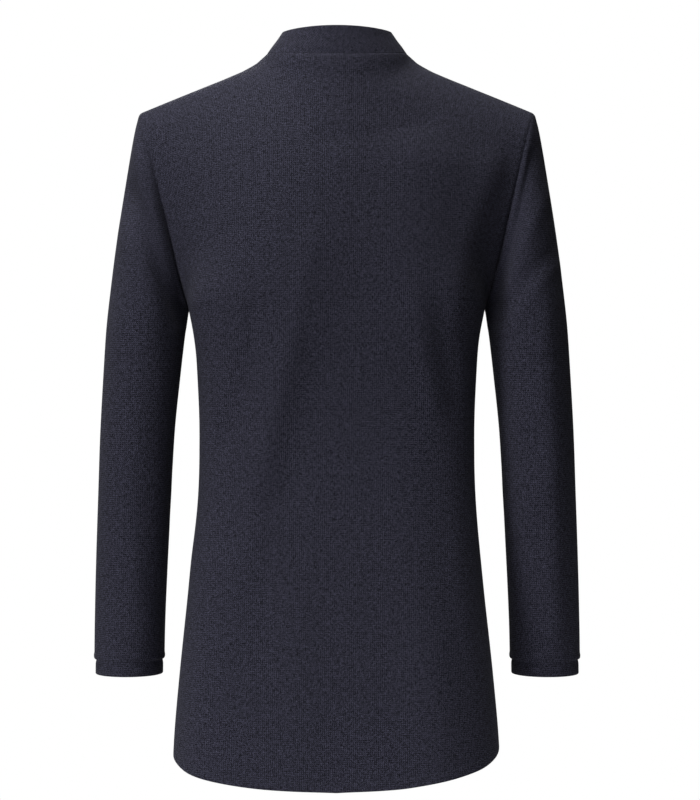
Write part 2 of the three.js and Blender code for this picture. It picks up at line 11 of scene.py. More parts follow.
import bmesh
import bpy
import numpy as np
from mathutils import Matrix, Vector
from mathutils.bvhtree import BVHTree


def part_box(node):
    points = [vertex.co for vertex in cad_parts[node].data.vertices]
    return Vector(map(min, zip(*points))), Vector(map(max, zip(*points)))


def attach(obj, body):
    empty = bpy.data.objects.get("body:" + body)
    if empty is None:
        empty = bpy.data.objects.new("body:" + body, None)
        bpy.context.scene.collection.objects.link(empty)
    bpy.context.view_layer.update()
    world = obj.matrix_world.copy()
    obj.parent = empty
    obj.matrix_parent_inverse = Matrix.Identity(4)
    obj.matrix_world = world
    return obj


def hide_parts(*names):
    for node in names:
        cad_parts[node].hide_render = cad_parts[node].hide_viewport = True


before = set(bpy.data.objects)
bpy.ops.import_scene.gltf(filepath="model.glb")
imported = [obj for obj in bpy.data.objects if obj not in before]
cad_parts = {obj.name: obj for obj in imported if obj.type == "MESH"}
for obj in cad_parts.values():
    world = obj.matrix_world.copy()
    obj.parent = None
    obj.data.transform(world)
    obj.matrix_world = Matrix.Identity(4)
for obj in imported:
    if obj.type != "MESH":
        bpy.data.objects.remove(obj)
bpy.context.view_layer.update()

MM = 0.001

# %% [markdown]
# ## Camera
# The blazer is seen straight from behind, from about chest height, with the camera level. A camera
# could be fitted by eye. Here its place follows from the size of the garment in the picture: 1.1 mm
# for each pixel at the middle plane, from 2.6 m away.

# %% Camera
CAMERA_PLACE = (-0.0143, 2.6, -0.373)
LENS, SENSOR_WIDTH = 106.36, 36
camera = bpy.data.objects.new("camera", bpy.data.cameras.new("camera"))
camera.data.lens = LENS
camera.data.sensor_width = SENSOR_WIDTH
camera.location = CAMERA_PLACE
camera.rotation_euler = (math.radians(90), 0, math.radians(180))
bpy.context.collection.objects.link(camera)
bpy.context.scene.camera = camera

# %% [markdown]
# ## Light
# Dark cloth shows its shape only where light grazes it. Two broad soft discs stand high above and one
# on the left, so each fold has a bright side and a dark one, and weak ones near the camera, below it and
# in front of the garment keep the shadows open. One window would do in a studio, but several discs give
# each direction its own strength. The backdrop is white to the camera, but lights the cloth like a dim
# grey room: a Light Path node tells the two apart.

# %% Lights and backdrop
LIGHT_AIM = Vector((0, 0, -0.35))
LIGHTS = [
    # name, place and disc size in metres, power in watts
    ("side_light", (3.0, 2.8, 1.0), 1.5, 80),
    ("top_light", (0.3, 1.3, 4.2), 1.5, 70),
    ("crown_light", (1.0, -0.6, 4.4), 1.5, 110),
    ("low_light", (1.6, 4.0, -1.0), 1.5, 20),
    ("camera_light", (0.2, 4.4, 0.0), 1.5, 10),
    ("front_light", (0.5, -3.4, 2.0), 1.4, 60),
]
for name, place, size, power in LIGHTS:
    data = bpy.data.lights.new(name, "AREA")
    data.shape, data.size, data.energy = "DISK", size, power
    light = bpy.data.objects.new(name, data)
    light.location = place
    light.rotation_euler = (LIGHT_AIM - Vector(place)).to_track_quat("-Z", "Y").to_euler()
    bpy.context.collection.objects.link(light)

world = bpy.data.worlds.new("studio")
bpy.context.scene.world = world
world.use_nodes = True
world_nodes, world_links = world.node_tree.nodes, world.node_tree.links
world_nodes.clear()
room = world_nodes.new("ShaderNodeBackground")
room.inputs["Color"].default_value = (0.93, 0.95, 1.0, 1)
room.inputs["Strength"].default_value = 0.01
backdrop = world_nodes.new("ShaderNodeBackground")
backdrop.inputs["Color"].default_value = (1, 1, 1, 1)
backdrop.inputs["Strength"].default_value = 1.0
light_path = world_nodes.new("ShaderNodeLightPath")
choose = world_nodes.new("ShaderNodeMixShader")
world_out = world_nodes.new("ShaderNodeOutputWorld")
world_links.new(light_path.outputs["Is Camera Ray"], choose.inputs[0])
world_links.new(room.outputs[0], choose.inputs[1])
world_links.new(backdrop.outputs[0], choose.inputs[2])
world_links.new(choose.outputs[0], world_out.inputs["Surface"])
bpy.context.scene.view_settings.view_transform = "Standard"
print("lights:", [row[0] for row in LIGHTS])

# %% [markdown]
# ## The sizes of the garment
# A garment is drafted from a few measures: the neck seam, the run of the shoulder, the armhole, the
# girth at each height and the sleeve's outline. They are the ones the solids were made from, so each
# shell lies where its solid is. Short tables with named columns keep them readable.

# %% Measures of neck, shoulder and armhole
def table(columns, *rows):
    return [dict(zip(columns.split(), row)) for row in rows]


NECK = dict(half=76.5, back=62, front=60, side_y=4, side_z=8, front_drop=84, fall_power=1.5)
COLLAR_HEIGHT = dict(back=31.5, side=23, front=31)
COLLAR_LEAN = dict(back=8, side=17, front=5)
SHOULDER_TIP = np.array([217.0, 0.0, -58.0])
UNDERARM = np.array([162.0, 0.0, -272.0])
ARMHOLE_BOW = dict(back=60, front=80, low_x=6, low_z=8, high_x=-9, high_z=-6)
SHOULDER_LINE = table(
    "x z",
    (76.5, 8),
    (84.7, -0.5),
    (95.2, -7.5),
    (106.7, -14),
    (121.6, -20.5),
    (138.6, -27),
    (173.3, -40.5),
    (217, -58),
)

# %% Measures of the body: half width and depths at each height, and the hem by the angle round it
BODY_SECTIONS = table(
    "z half back front",
    (-272, 162, 113, 127),
    (-306, 155.5, 109.5, 124),
    (-340, 152.8, 103.5, 119.5),
    (-406, 150.3, 97, 111),
    (-480, 151.8, 99, 108.5),
    (-571, 159.8, 108, 111.5),
    (-670, 170.5, 114, 115),
    (-745, 177, 116, 117),
    (-800, 178, 116, 117),
)
SECTION_POWER = dict(back=3.3, front=2.35)
HEM = table(
    "angle back front right_rise",
    (0, -786.5, -780, 0),
    (30, -784, -778, 1),
    (45, -780, -774, 3.5),
    (60, -771.5, -767, 4.5),
    (70, -763, -761.5, 4.5),
    (80, -757.5, -757.5, 5.5),
    (90, -755, -755, 6.5),
)
FRONT_CORNER_RADIUS = 55
LAP, LAP_STEP, LAP_EASE = 18, 1.3, 30

# %% Measures of the sleeves: outer and inner edge seen from behind, half depth, how far back the middle is
SLEEVE_RINGS = table(
    "outer_x outer_z inner_x inner_z half_depth backset",
    (217, -58, 162, -272, 62, 0),
    (221.5, -74, 162.6, -275, 66, 0),
    (226, -98, 163.2, -278, 67, 1),
    (231.5, -132, 163.8, -282, 66, 2),
    (237.5, -170, 164.5, -287, 65, 3),
    (243.2, -210, 165.4, -293, 64, 4),
    (248, -250, 166.8, -301, 63, 5),
    (252.3, -290, 168.6, -315, 62, 5),
    (255.4, -335, 172, -345, 59, 5),
    (259.6, -406, 178.4, -406, 55, 3),
    (262.4, -472, 182.4, -472, 52, -2),
    (266, -550, 187.2, -550, 48, -12),
    (268.7, -620, 191, -620, 46, -23),
    (270.4, -680, 192.8, -680, 45, -33),
)
for number, ring in enumerate(SLEEVE_RINGS):
    ring["number"] = number
FAN_END = 8 / 13
SLEEVE_END, CUFF_END, CUFF_INSET = -660, -677, 1.5

# %% [markdown]
# ## Creases
# Worn cloth creases where the body bends and where it hangs from a high point: the waist, the armholes,
# the elbows. A cloth simulation could find such folds, but not the ones that this blazer shows, so each
# is listed: a soft trough (height below zero) or a soft roll (above zero) along a run from one
# point to another, a little bent. Side is 1 behind and -1 in front. The hidden front gets folds like
# those that show, and no two are alike.

# %% Creases of the body
FOLD_COLUMNS = "name side x0 z0 x1 z1 breadth height bend"
BODY_FOLDS = table(
    FOLD_COLUMNS,
    ("hollow between the blades", 1, -42, -115, -34, -250, 40, -2.4, 0),
    ("left blade", 1, 66, -110, 46, -240, 28, 2.0, 0),
    ("long ridge left of the middle", 1, 22, -222, 88, -495, 19, 3.4, 0),
    ("its swell at the waist", 1, 50, -315, 76, -430, 16, 3.4, 0),
    ("start of the ridge", 1, 30, -84, 24, -130, 9, 0.9, 0),
    ("trough right of the ridge", 1, 12, -212, 34, -300, 10, -1.2, 0),
    ("left waist crease", 1, 88, -288, 118, -412, 12, -3.6, 4),
    ("right waist crease", 1, -114, -284, -126, -372, 12, -2.8, -3),
    ("roll at the right waist", 1, -84, -272, -100, -370, 13, 2.4, -2),
    ("edge of the right blade", 1, -164, -128, -124, -275, 15, 3.0, -4),
    ("swell of the right shoulder", 1, -92, -116, -150, -128, 26, 3.0, 0),
    ("left skirt fall", 1, 45, -400, 92, -640, 34, -1.6, 0),
    ("right skirt fall", 1, -105, -470, -140, -700, 26, -2.0, 0),
    ("left edge of the skirt", 1, 136, -555, 146, -775, 30, 4.5, 0),
    ("right edge of the skirt", 1, -100, -640, -110, -775, 24, 3.0, 0),
    ("swell under the left armhole", 1, 150, -238, 146, -300, 12, 1.5, 0),
    ("ridge in the skirt", 1, 48, -600, 41, -755, 22, 1.8, 3),
    ("lower left waist crease", 1, 52, -471, 111, -516, 9, -2.0, -4),
    ("faint crease below it", 1, 74, -571, 117, -599, 9, -0.9, 3),
    ("crescent at the left waist", 1, 127, -338, 143, -424, 5, 0.9, 3),
    ("short crease at the left side", 1, 112, -292, 128, -352, 6, -1.2, 2),
    ("small roll at the right waist", 1, -134, -330, -142, -424, 6, 0.9, -2),
    ("roll below the collar", 1, 24, -36, -72, -40, 18, 1.9, 2),
    ("crease below the nape", 1, 8, -92, -94, -76, 10, -1.3, -5),
    ("dimple at its end", 1, 11, -84, 2, -98, 8, -1.0, 0),
    ("dimple left of the nape", 1, 34, -70, 20, -118, 10, -0.7, 2),
    ("left hip swell", 1, 96, -535, 104, -590, 20, 1.4, 0),
    ("right hip swell", 1, -128, -520, -150, -665, 8, 0.9, -3),
    ("fall right of the middle", 1, -38, -430, -52, -700, 24, -0.9, 2),
    ("left armhole drag", 1, 150, -150, 128, -235, 12, -0.8, -3),
    ("left chest drape", -1, 120, -190, 78, -330, 20, -2.5, 5),
    ("right chest drape", -1, -122, -185, -84, -340, 20, -2.2, -4),
    ("left front crease", -1, 132, -345, 70, -395, 14, -2.0, 4),
    ("right front crease", -1, -130, -350, -66, -405, 14, -2.0, -3),
    ("left front fall", -1, 96, -470, 120, -730, 28, -2.5, 0),
    ("right front fall", -1, -90, -480, -118, -725, 28, -2.5, 0),
    ("short crease at the left waist", -1, 126, -372, 92, -412, 8, -1.2, -2),
    ("short crease at the right waist", -1, -124, -382, -96, -430, 7, -1.1, 2),
    ("roll on the left chest", -1, 100, -175, 62, -300, 14, 1.2, 4),
    ("roll on the right chest", -1, -98, -180, -64, -312, 13, 1.0, -5),
    ("pull at the third button", -1, 24, -372, 92, -366, 8, -0.9, 2),
    ("pull at the third button, right", -1, -26, -374, -88, -360, 8, -0.8, -2),
)

# %% Creases of the sleeves, with both drawn as if they were the left one
LEFT_SLEEVE_FOLDS = table(
    FOLD_COLUMNS,
    ("underarm trough", 1, 227, -150, 167, -278, 13, -5.6, 3),
    ("roll along the armhole", 1, 221, -95, 172, -252, 9, 2.5, 0),
    ("roll below the trough", 1, 236, -190, 196, -268, 11, 1.6, 3),
    ("pucker 1", 1, 214, -352, 184, -372, 6, 0.9, 2),
    ("pucker 2", 1, 222, -420, 190, -446, 7, -1.1, -2),
    ("pucker 3", 1, 216, -505, 194, -520, 6, 0.8, 1),
    ("pucker 4", 1, 226, -560, 200, -588, 6, -0.9, 2),
    ("pucker 5", 1, 212, -612, 196, -622, 5, 0.6, 0),
    ("long soft fall", 1, 244, -300, 240, -520, 12, 0.8, 4),
    ("lower fall", 1, 216, -545, 213, -650, 13, 2.2, -2),
    ("roll along the inner edge", 1, 187, -345, 204, -640, 10, 2.0, 2),
    ("front trough", -1, 218, -172, 168, -276, 14, -4.0, 3),
    ("front roll", -1, 216, -132, 176, -262, 10, 1.6, 0),
    ("elbow crease", -1, 250, -425, 188, -455, 14, -4.0, 4),
    ("lower elbow crease", -1, 252, -478, 194, -492, 12, -3.0, -3),
    ("short elbow crease", -1, 246, -398, 214, -410, 8, -1.6, 2),
    ("forearm crease", -1, 240, -540, 206, -552, 8, -1.3, -2),
)
RIGHT_SLEEVE_FOLDS = table(
    FOLD_COLUMNS,
    ("long ridge", 1, 227, -270, 240, -625, 13, 2.6, 3),
    ("underarm trough", 1, 212, -112, 171, -268, 11, -5.0, 2),
    ("roll between troughs", 1, 230, -150, 184, -252, 10, 2.2, 3),
    ("second trough", 1, 232, -214, 176, -284, 9, -1.6, 3),
    ("third roll", 1, 238, -228, 190, -292, 8, 1.6, 4),
    ("pucker 1", 1, 226, -330, 190, -364, 7, -1.4, 3),
    ("pucker 2", 1, 230, -368, 196, -402, 7, 1.0, 2),
    ("pucker 3", 1, 222, -418, 190, -446, 6, -1.1, -2),
    ("pucker 4", 1, 238, -448, 206, -502, 8, 1.3, 4),
    ("pucker 5", 1, 228, -500, 196, -530, 6, -1.0, 2),
    ("pucker 6", 1, 236, -552, 204, -592, 7, 1.0, -2),
    ("pucker 7", 1, 218, -596, 198, -612, 5, -0.8, 1),
    ("long soft fall", 1, 238, -400, 236, -560, 12, 0.8, 3),
    ("front trough", -1, 212, -164, 168, -275, 14, -3.8, 3),
    ("front roll", -1, 222, -190, 178, -268, 10, 1.5, 3),
    ("elbow crease", -1, 252, -432, 190, -448, 14, -4.0, 4),
    ("lower elbow crease", -1, 250, -490, 196, -500, 12, -3.0, -2),
    ("short elbow crease", -1, 244, -404, 210, -414, 8, -1.8, 3),
    ("forearm crease", -1, 236, -556, 204, -564, 8, -1.2, 2),
)
print("creases:", len(BODY_FOLDS), len(LEFT_SLEEVE_FOLDS), len(RIGHT_SLEEVE_FOLDS))

# %% [markdown]
# ## From measures to surfaces
# A tailor joins measured points with a French curve. Here a smooth curve through the rows of a table
# does that, and numpy works out a whole panel of points at once.

# %% Smooth reading of a table, and small helpers
QUARTER = math.pi / 2
TINY = 1e-9


def ease(t):
    t = np.clip(t, 0, 1)
    return t * t * (3 - 2 * t)


def lerp(a, b, t):
    return a + (b - a) * t


def points_of(x, y, z):
    return np.stack(np.broadcast_arrays(x, y, z), axis=-1).astype(float)


def read_table(rows, key, at):
    """All columns of a table at the places that its key column takes, on a smooth curve through the rows."""
    rows = sorted(rows, key=lambda row: row[key])
    keys = np.array([row[key] for row in rows], float)
    order = np.arange(len(keys))
    before, after = np.maximum(order - 1, 0), np.minimum(order + 1, len(keys) - 1)
    i = np.clip(np.searchsorted(keys, at, side="right") - 1, 0, len(keys) - 2)
    span = keys[i + 1] - keys[i]
    t = np.clip((at - keys[i]) / span, 0, 1)
    found = {}
    for column in rows[0]:
        value = np.array([row[column] for row in rows], float)
        slope = (value[after] - value[before]) / (keys[after] - keys[before])
        found[column] = (
            value[i] * (1 + 2 * t) * (1 - t) ** 2
            + value[i + 1] * t * t * (3 - 2 * t)
            + slope[i] * span * t * (1 - t) ** 2
            - slope[i + 1] * span * t * t * (1 - t)
        )
    return found


def bezier(a, b, c, d, t):
    t = np.asarray(t)[..., None]
    return a * (1 - t) ** 3 + 3 * b * t * (1 - t) ** 2 + 3 * c * t * t * (1 - t) + d * t**3


# %% Points of the body section, neck seam, shoulder seam and armhole, on the wearer's left
def section_point(z, angle, side):
    row = read_table(BODY_SECTIONS, "z", z)
    across = np.abs(np.sin(angle)) / row["half"]
    along = np.abs(np.cos(angle)) / (row["back"] if side > 0 else row["front"])
    power = SECTION_POWER["back" if side > 0 else "front"]
    radius = (across**power + along**power) ** (-1 / power)
    return points_of(radius * np.sin(angle), side * radius * np.cos(angle), z)


def neck_point(turn, side):
    depth = NECK["back"] - NECK["side_y"] if side > 0 else NECK["front"] + NECK["side_y"]
    fall = np.abs(np.cos(turn)) ** NECK["fall_power"] * (NECK["side_z"] if side > 0 else NECK["front_drop"])
    return points_of(
        NECK["half"] * np.sin(turn), NECK["side_y"] + side * depth * np.cos(turn), NECK["side_z"] - fall
    )


def shoulder_point(run):
    x = lerp(NECK["half"], SHOULDER_TIP[0], run)
    return points_of(x, lerp(NECK["side_y"], 0, run), read_table(SHOULDER_LINE, "x", x)["z"])


def armhole_point(rise, side):
    bow = side * ARMHOLE_BOW["back" if side > 0 else "front"]
    low = UNDERARM + (ARMHOLE_BOW["low_x"], bow, ARMHOLE_BOW["low_z"])
    high = SHOULDER_TIP + (ARMHOLE_BOW["high_x"], bow, ARMHOLE_BOW["high_z"])
    return bezier(UNDERARM, low, high, SHOULDER_TIP, rise)


# %% The upper edge of half a panel: neck seam, then shoulder seam
NECK_SHARE = 0.4
BLUR = dict(weights=(1, 2, 3, 4, 3, 2, 1), step=0.1)


def edge_point(place, side):
    inner = np.abs(place)
    over = inner > 1
    inner = np.where(over, 2 - inner, inner)
    neck = neck_point(QUARTER * np.minimum(inner / NECK_SHARE, 1), side)
    shoulder = shoulder_point(np.clip((inner - NECK_SHARE) / (1 - NECK_SHARE), 0, 1))
    point = np.where((inner < NECK_SHARE)[..., None], neck, shoulder)
    point = np.where(over[..., None], 2 * SHOULDER_TIP - point, point)
    point[..., 0] *= np.where(place < 0, -1, 1)
    return point


def soft_edge_point(place, side):
    total, middle = sum(BLUR["weights"]), len(BLUR["weights"]) // 2
    return sum(
        weight / total * edge_point(place + (k - middle) * BLUR["step"], side)
        for k, weight in enumerate(BLUR["weights"])
    )


# %% The upper body: free curves from the chest to the upper edge, which follow the armhole beside it
FOOT_STEP = 4
FOOT_PULL = dict(middle=32, side=22)
TOP_PULL = dict(middle=58, side=50)
TOP_SLOPE = dict(back=0.55, front=0.3)
LEVEL = dict(start=0.1, run=0.45)
EDGE_PULL_POWER = 5
ARMHOLE_PULL = dict(start=0.25, power=2.2)


def free_point(place, rise, side):
    out = np.abs(place)
    armhole = armhole_point(rise, side)
    angle = place * np.arctan2(armhole[..., 0], np.abs(armhole[..., 1]))
    foot = section_point(UNDERARM[2], angle, side)
    below = section_point(UNDERARM[2] - FOOT_STEP, angle, side)
    handle = (foot - below) * lerp(FOOT_PULL["middle"], FOOT_PULL["side"], out)[..., None]
    level = ease((out - LEVEL["start"]) / LEVEL["run"])
    slope = lerp(TOP_SLOPE["back" if side > 0 else "front"], 1, level)
    lean = points_of(0, -side * slope, np.sqrt(1 - slope**2))
    top = soft_edge_point(place, side)
    reach = lerp(TOP_PULL["middle"], TOP_PULL["side"], level)[..., None]
    curve = bezier(foot, foot + handle, top - lean * reach, top, rise)
    return curve + (edge_point(place, side) - top) * (rise**EDGE_PULL_POWER)[..., None]


def upper_point(place, rise, side):
    place, rise = np.broadcast_arrays(np.asarray(place, float), np.asarray(rise, float))
    pull = armhole_point(rise, side) - free_point(np.ones_like(place), rise, side)
    near = np.clip((place - ARMHOLE_PULL["start"]) / (1 - ARMHOLE_PULL["start"]), 0, 1)
    return free_point(place, rise, side) + pull * (near ** ARMHOLE_PULL["power"])[..., None]


# %% [markdown]
# ## How fine the cloth is divided
# The rows and columns of a panel are close together beside a seam or an edge, where the cloth turns
# within a millimetre or two, and wider apart where it only bends softly. Panels that meet at a seam
# share their steps, so their points fall on each other.

# %% Steps across a panel, up it, and above a free edge
EDGE_STEPS = np.array(
    [0, 0.12, 0.42, 0.85, 1.45, 2.6, 4.5, 7, 8.9, 10, 11.1, 13.5, 17, 21, 24.6, 25.4, 29, 34]
)
NECK_COLUMNS = 21
PLACES = np.concatenate([
    np.linspace(0, NECK_SHARE, NECK_COLUMNS),
    np.linspace(NECK_SHARE, 0.97, 25)[1:],
    [0.977, 0.983, 0.988, 0.992, 0.995, 0.9975, 1],
])
RISES = np.concatenate(
    [[0, 0.004, 0.008, 0.014, 0.022], np.linspace(0.036, 0.955, 42), [0.97, 0.98, 0.987, 0.992, 0.996, 1]]
)
LOWER_STEPS = np.linspace(0, 1, 68)[1:-1]
CHEST_ROW = len(EDGE_STEPS) + len(LOWER_STEPS)
print("rows up a body panel:", CHEST_ROW + len(RISES), "columns across the back:", 2 * len(PLACES) - 1)


# %% Grids of the back and the fronts
def hem_height(place, side, hand):
    row = read_table(HEM, "angle", np.abs(place) * 90)
    return row["back" if side > 0 else "front"] + row["right_rise"] * (hand < 0)


def lower_rows(hem):
    near = hem[:, None] + EDGE_STEPS
    far = lerp(near[:, -1:], UNDERARM[2], LOWER_STEPS)
    return np.concatenate([near, far], axis=1)


def back_grid():
    signed = np.concatenate([-PLACES[:0:-1], PLACES])
    hand, place = np.sign(signed), np.abs(signed)
    z = lower_rows(hem_height(place, 1, hand))
    lower = section_point(z, place[:, None] * QUARTER, 1)
    grid = np.concatenate([lower, upper_point(place[:, None], RISES[None, :], 1)], axis=1)
    grid[..., 0] *= hand[:, None]
    return grid


def corner_lift(from_edge):
    short = np.maximum(FRONT_CORNER_RADIUS - from_edge, 0)
    return FRONT_CORNER_RADIUS - np.sqrt(FRONT_CORNER_RADIUS**2 - short**2)


LAP_STEPS = np.append(EDGE_STEPS[EDGE_STEPS < LAP - 1], 15.2)
HEM_NEAR_FRONT = 0.5


def front_grid(hand):
    past = LAP - LAP_STEPS
    front = BODY_SECTIONS[0]["front"]
    low = np.concatenate([-np.arctan(past / front) / QUARTER, PLACES])
    high = np.concatenate([-NECK_SHARE * np.arcsin(past / NECK["half"]) / QUARTER, PLACES])
    beyond = LAP + front * np.tan(np.minimum(PLACES, HEM_NEAR_FRONT) * QUARTER)
    from_edge = np.concatenate([LAP_STEPS, beyond])
    z = lower_rows(hem_height(low, -1, hand) + corner_lift(from_edge))
    lower = section_point(z, low[:, None] * QUARTER, -1)
    place = lerp(low[:, None], high[:, None], RISES[None, :])
    grid = np.concatenate([lower, upper_point(place, RISES[None, :], -1)], axis=1)
    grid[: len(past), :, 0] = -past[:, None]
    grid[..., 0] *= hand
    return grid


# %% Grids of the sleeves and cuff bands, whose columns start at the armhole and ease into ovals
def sleeve_row(share):
    return read_table(SLEEVE_RINGS, "number", share * (len(SLEEVE_RINGS) - 1))


def share_at_height(z):
    shares = np.linspace(0, 1, 4001)
    return np.interp(-np.asarray(z, float), -sleeve_row(shares)["outer_z"], shares)


def oval_point(row, turn, hand):
    x = (row["outer_x"] + row["inner_x"]) / 2 - (row["outer_x"] - row["inner_x"]) / 2 * np.cos(turn)
    z = (row["outer_z"] + row["inner_z"]) / 2 - (row["outer_z"] - row["inner_z"]) / 2 * np.cos(turn)
    return points_of(hand * x, row["backset"] + row["half_depth"] * np.sin(turn), z)


SLEEVE_SHARES = np.concatenate(
    [
        [0, 0.0034, 0.0067, 0.011, 0.0173, 0.026, 0.038],
        np.linspace(0.05, float(share_at_height(SLEEVE_END + 38)), 92),
        share_at_height(SLEEVE_END + EDGE_STEPS[::-1]),
    ]
)
TURNS = np.concatenate([RISES, 2 - RISES[-2:0:-1]]) * math.pi


def sleeve_grid(hand):
    turn = TURNS[:, None]
    behind = TURNS <= math.pi + TINY
    rise = np.where(behind, TURNS, 2 * math.pi - TURNS) / math.pi
    armhole = np.where(behind[:, None], armhole_point(rise, 1), armhole_point(rise, -1))
    armhole[:, 0] *= hand
    difference = armhole - oval_point(sleeve_row(0.0), TURNS, hand)
    oval = oval_point(sleeve_row(SLEEVE_SHARES[None, :]), turn, hand)
    return oval + difference[:, None] * (1 - ease(SLEEVE_SHARES / FAN_END))[None, :, None]


CUFF_STEPS = np.append(EDGE_STEPS[:7], [8, 12, 16, 20])


def cuff_grid(hand):
    row = sleeve_row(share_at_height(CUFF_END + CUFF_STEPS[::-1])[None, :])
    row["outer_x"] = row["outer_x"] - CUFF_INSET
    row["inner_x"] = row["inner_x"] + CUFF_INSET
    row["half_depth"] = row["half_depth"] - CUFF_INSET
    return oval_point(row, TURNS[:, None], hand)


# %% Grid of the collar, from its left end round the back of the neck to its right end
COLLAR_CURL = 0.9
NECK_STOPS = PLACES[:NECK_COLUMNS] / NECK_SHARE
COLLAR_RISES = np.array(
    [0, 0.02, 0.045, 0.08, 0.13, 0.2, 0.28, 0.36, 0.44, 0.52, 0.6, 0.68, 0.76]
    + [0.83, 0.88, 0.92, 0.95, 0.972, 0.987, 0.996, 1]
)


def collar_grid():
    share = np.concatenate([NECK_STOPS, NECK_STOPS[-2::-1], NECK_STOPS[1:], NECK_STOPS[-2::-1]])
    count = len(NECK_STOPS)
    behind = np.zeros(len(share), bool)
    behind[count : 3 * count - 3] = True
    hand = np.where(np.arange(len(share)) <= 2 * count - 2, 1, -1)
    turn = share * QUARTER
    grids = []
    for side, end in ((-1, "front"), (1, "back")):
        height = lerp(COLLAR_HEIGHT["side"], COLLAR_HEIGHT[end], np.cos(turn) ** 2)[:, None]
        lean = lerp(COLLAR_LEAN["side"], COLLAR_LEAN[end], np.cos(turn) ** 2)[:, None]
        inward = points_of(-np.sin(turn), -side * np.cos(turn), 0)[:, None]
        up = COLLAR_RISES[None, :]
        grid = neck_point(turn, side)[:, None] + inward * (lean * up**COLLAR_CURL)[..., None]
        grid[..., 2] += height * up
        grid[..., 0] *= hand[:, None]
        grids.append(grid)
    return np.where(behind[:, None, None], grids[1], grids[0])


# %% [markdown]
# ## Panels and seams
# Where two panels are sewn together their surfaces have to meet: they share one direction, square to
# both, at each point of the seam. The body panels bend tightly beside the armhole, so they are first
# smoothed a little across, as a tailor does with steam. The creases then move the cloth along the shared
# directions, and fade out towards the seams.

# %% The panels
PANELS = {
    "back": dict(group="body", grid=back_grid(), outward=-1, side=1, hand=1),
    "front_left": dict(group="body", grid=front_grid(1), outward=1, side=-1, hand=1),
    "front_right": dict(group="body", grid=front_grid(-1), outward=-1, side=-1, hand=1),
    "sleeve_left": dict(group="sleeve", grid=sleeve_grid(1), outward=1, hand=1, folds=LEFT_SLEEVE_FOLDS),
    "sleeve_right": dict(group="sleeve", grid=sleeve_grid(-1), outward=-1, hand=-1, folds=RIGHT_SLEEVE_FOLDS),
    "cuff_left": dict(group="cuff", grid=cuff_grid(1), outward=1),
    "cuff_right": dict(group="cuff", grid=cuff_grid(-1), outward=-1),
    "collar": dict(group="collar", grid=collar_grid(), outward=1),
}
for name, panel in PANELS.items():
    panel["closed"] = panel["group"] in ("sleeve", "cuff")
    print(name, "grid", panel["grid"].shape[:2])


# %% Directions square to the cloth, shared at the seams
SAME_PLACE, CANCELLED = 0.05, 1e-6


def grid_normals(panel):
    grid = panel["grid"]
    if panel["closed"]:
        across = np.roll(grid, -1, axis=0) - np.roll(grid, 1, axis=0)
    else:
        across = np.gradient(grid, axis=0)
    normal = np.cross(across, np.gradient(grid, axis=1)) * panel["outward"]
    return normal / np.linalg.norm(normal, axis=-1, keepdims=True)


def border(panel):
    nu, nv = panel["grid"].shape[:2]
    i, j = np.meshgrid(np.arange(nu), np.arange(nv), indexing="ij")
    at_border = (j == 0) | (j == nv - 1)
    if not panel["closed"]:
        at_border |= (i == 0) | (i == nu - 1)
    return i[at_border], j[at_border]


def share_seam_normals():
    for panel in PANELS.values():
        panel["normals"] = grid_normals(panel)
    borders = [(panel, *border(panel)) for panel in PANELS.values()]
    groups = np.array([panel["group"] for panel, i, _ in borders for _ in i])
    places = np.concatenate([panel["grid"][i, j] for panel, i, j in borders])
    normals = np.concatenate([panel["normals"][i, j] for panel, i, j in borders])
    near = np.linalg.norm(places[:, None] - places[None], axis=-1) < SAME_PLACE
    total = np.zeros_like(normals)
    for group in sorted(set(groups)):
        summed = (near & (groups == group)[None]).astype(float) @ normals
        length = np.linalg.norm(summed, axis=1, keepdims=True)
        total += np.where(length > CANCELLED, summed / np.maximum(length, CANCELLED), 0)
    total /= np.linalg.norm(total, axis=1, keepdims=True)
    start = 0
    for panel, i, j in borders:
        panel["normals"][i, j] = total[start : start + len(i)]
        start += len(i)


# %% Creases move the cloth in and out, and the fronts part where they lap
CREASE_END = 1.6
SMOOTHING = dict(rounds=60, pace=0.9, low=0.3, top=0.93, high=0.2, seam=0.15)
SLEEVE_FADE = dict(top=0.2 * FAN_END, end=(SLEEVE_SHARES[-1] - FAN_END) / 7)
BODY_FADE = dict(armhole=1 / 9, underarm=1 / 13, top=4 / 13)


def crease_height(folds, points, hand, facing):
    total = np.zeros(points.shape[:2])
    for fold in folds:
        run = np.array([fold["x1"] - fold["x0"], fold["z1"] - fold["z0"]], float)
        length = np.linalg.norm(run)
        run /= length
        x, z = points[..., 0] * hand - fold["x0"], points[..., 2] - fold["z0"]
        along, across = x * run[0] + z * run[1], x * run[1] - z * run[0]
        share = np.clip(along / length, 0, 1)
        across = across - fold["bend"] * 4 * share * (1 - share)
        past = np.maximum(np.maximum(-along, along - length), 0) / (CREASE_END * fold["breadth"])
        shape = np.exp(-(past**2) - (across / fold["breadth"]) ** 2)
        total += fold["height"] * ease(2 * facing * fold["side"]) * shape
    return total


def shares_on_body(panel):
    rise = np.concatenate([np.zeros(CHEST_ROW), RISES])[None, :]
    place = np.concatenate([-PLACES[:0:-1], PLACES]) if panel["side"] > 0 else PLACES
    place = np.concatenate([np.zeros(len(panel["grid"]) - len(place)), np.abs(place)])[:, None]
    return rise, place


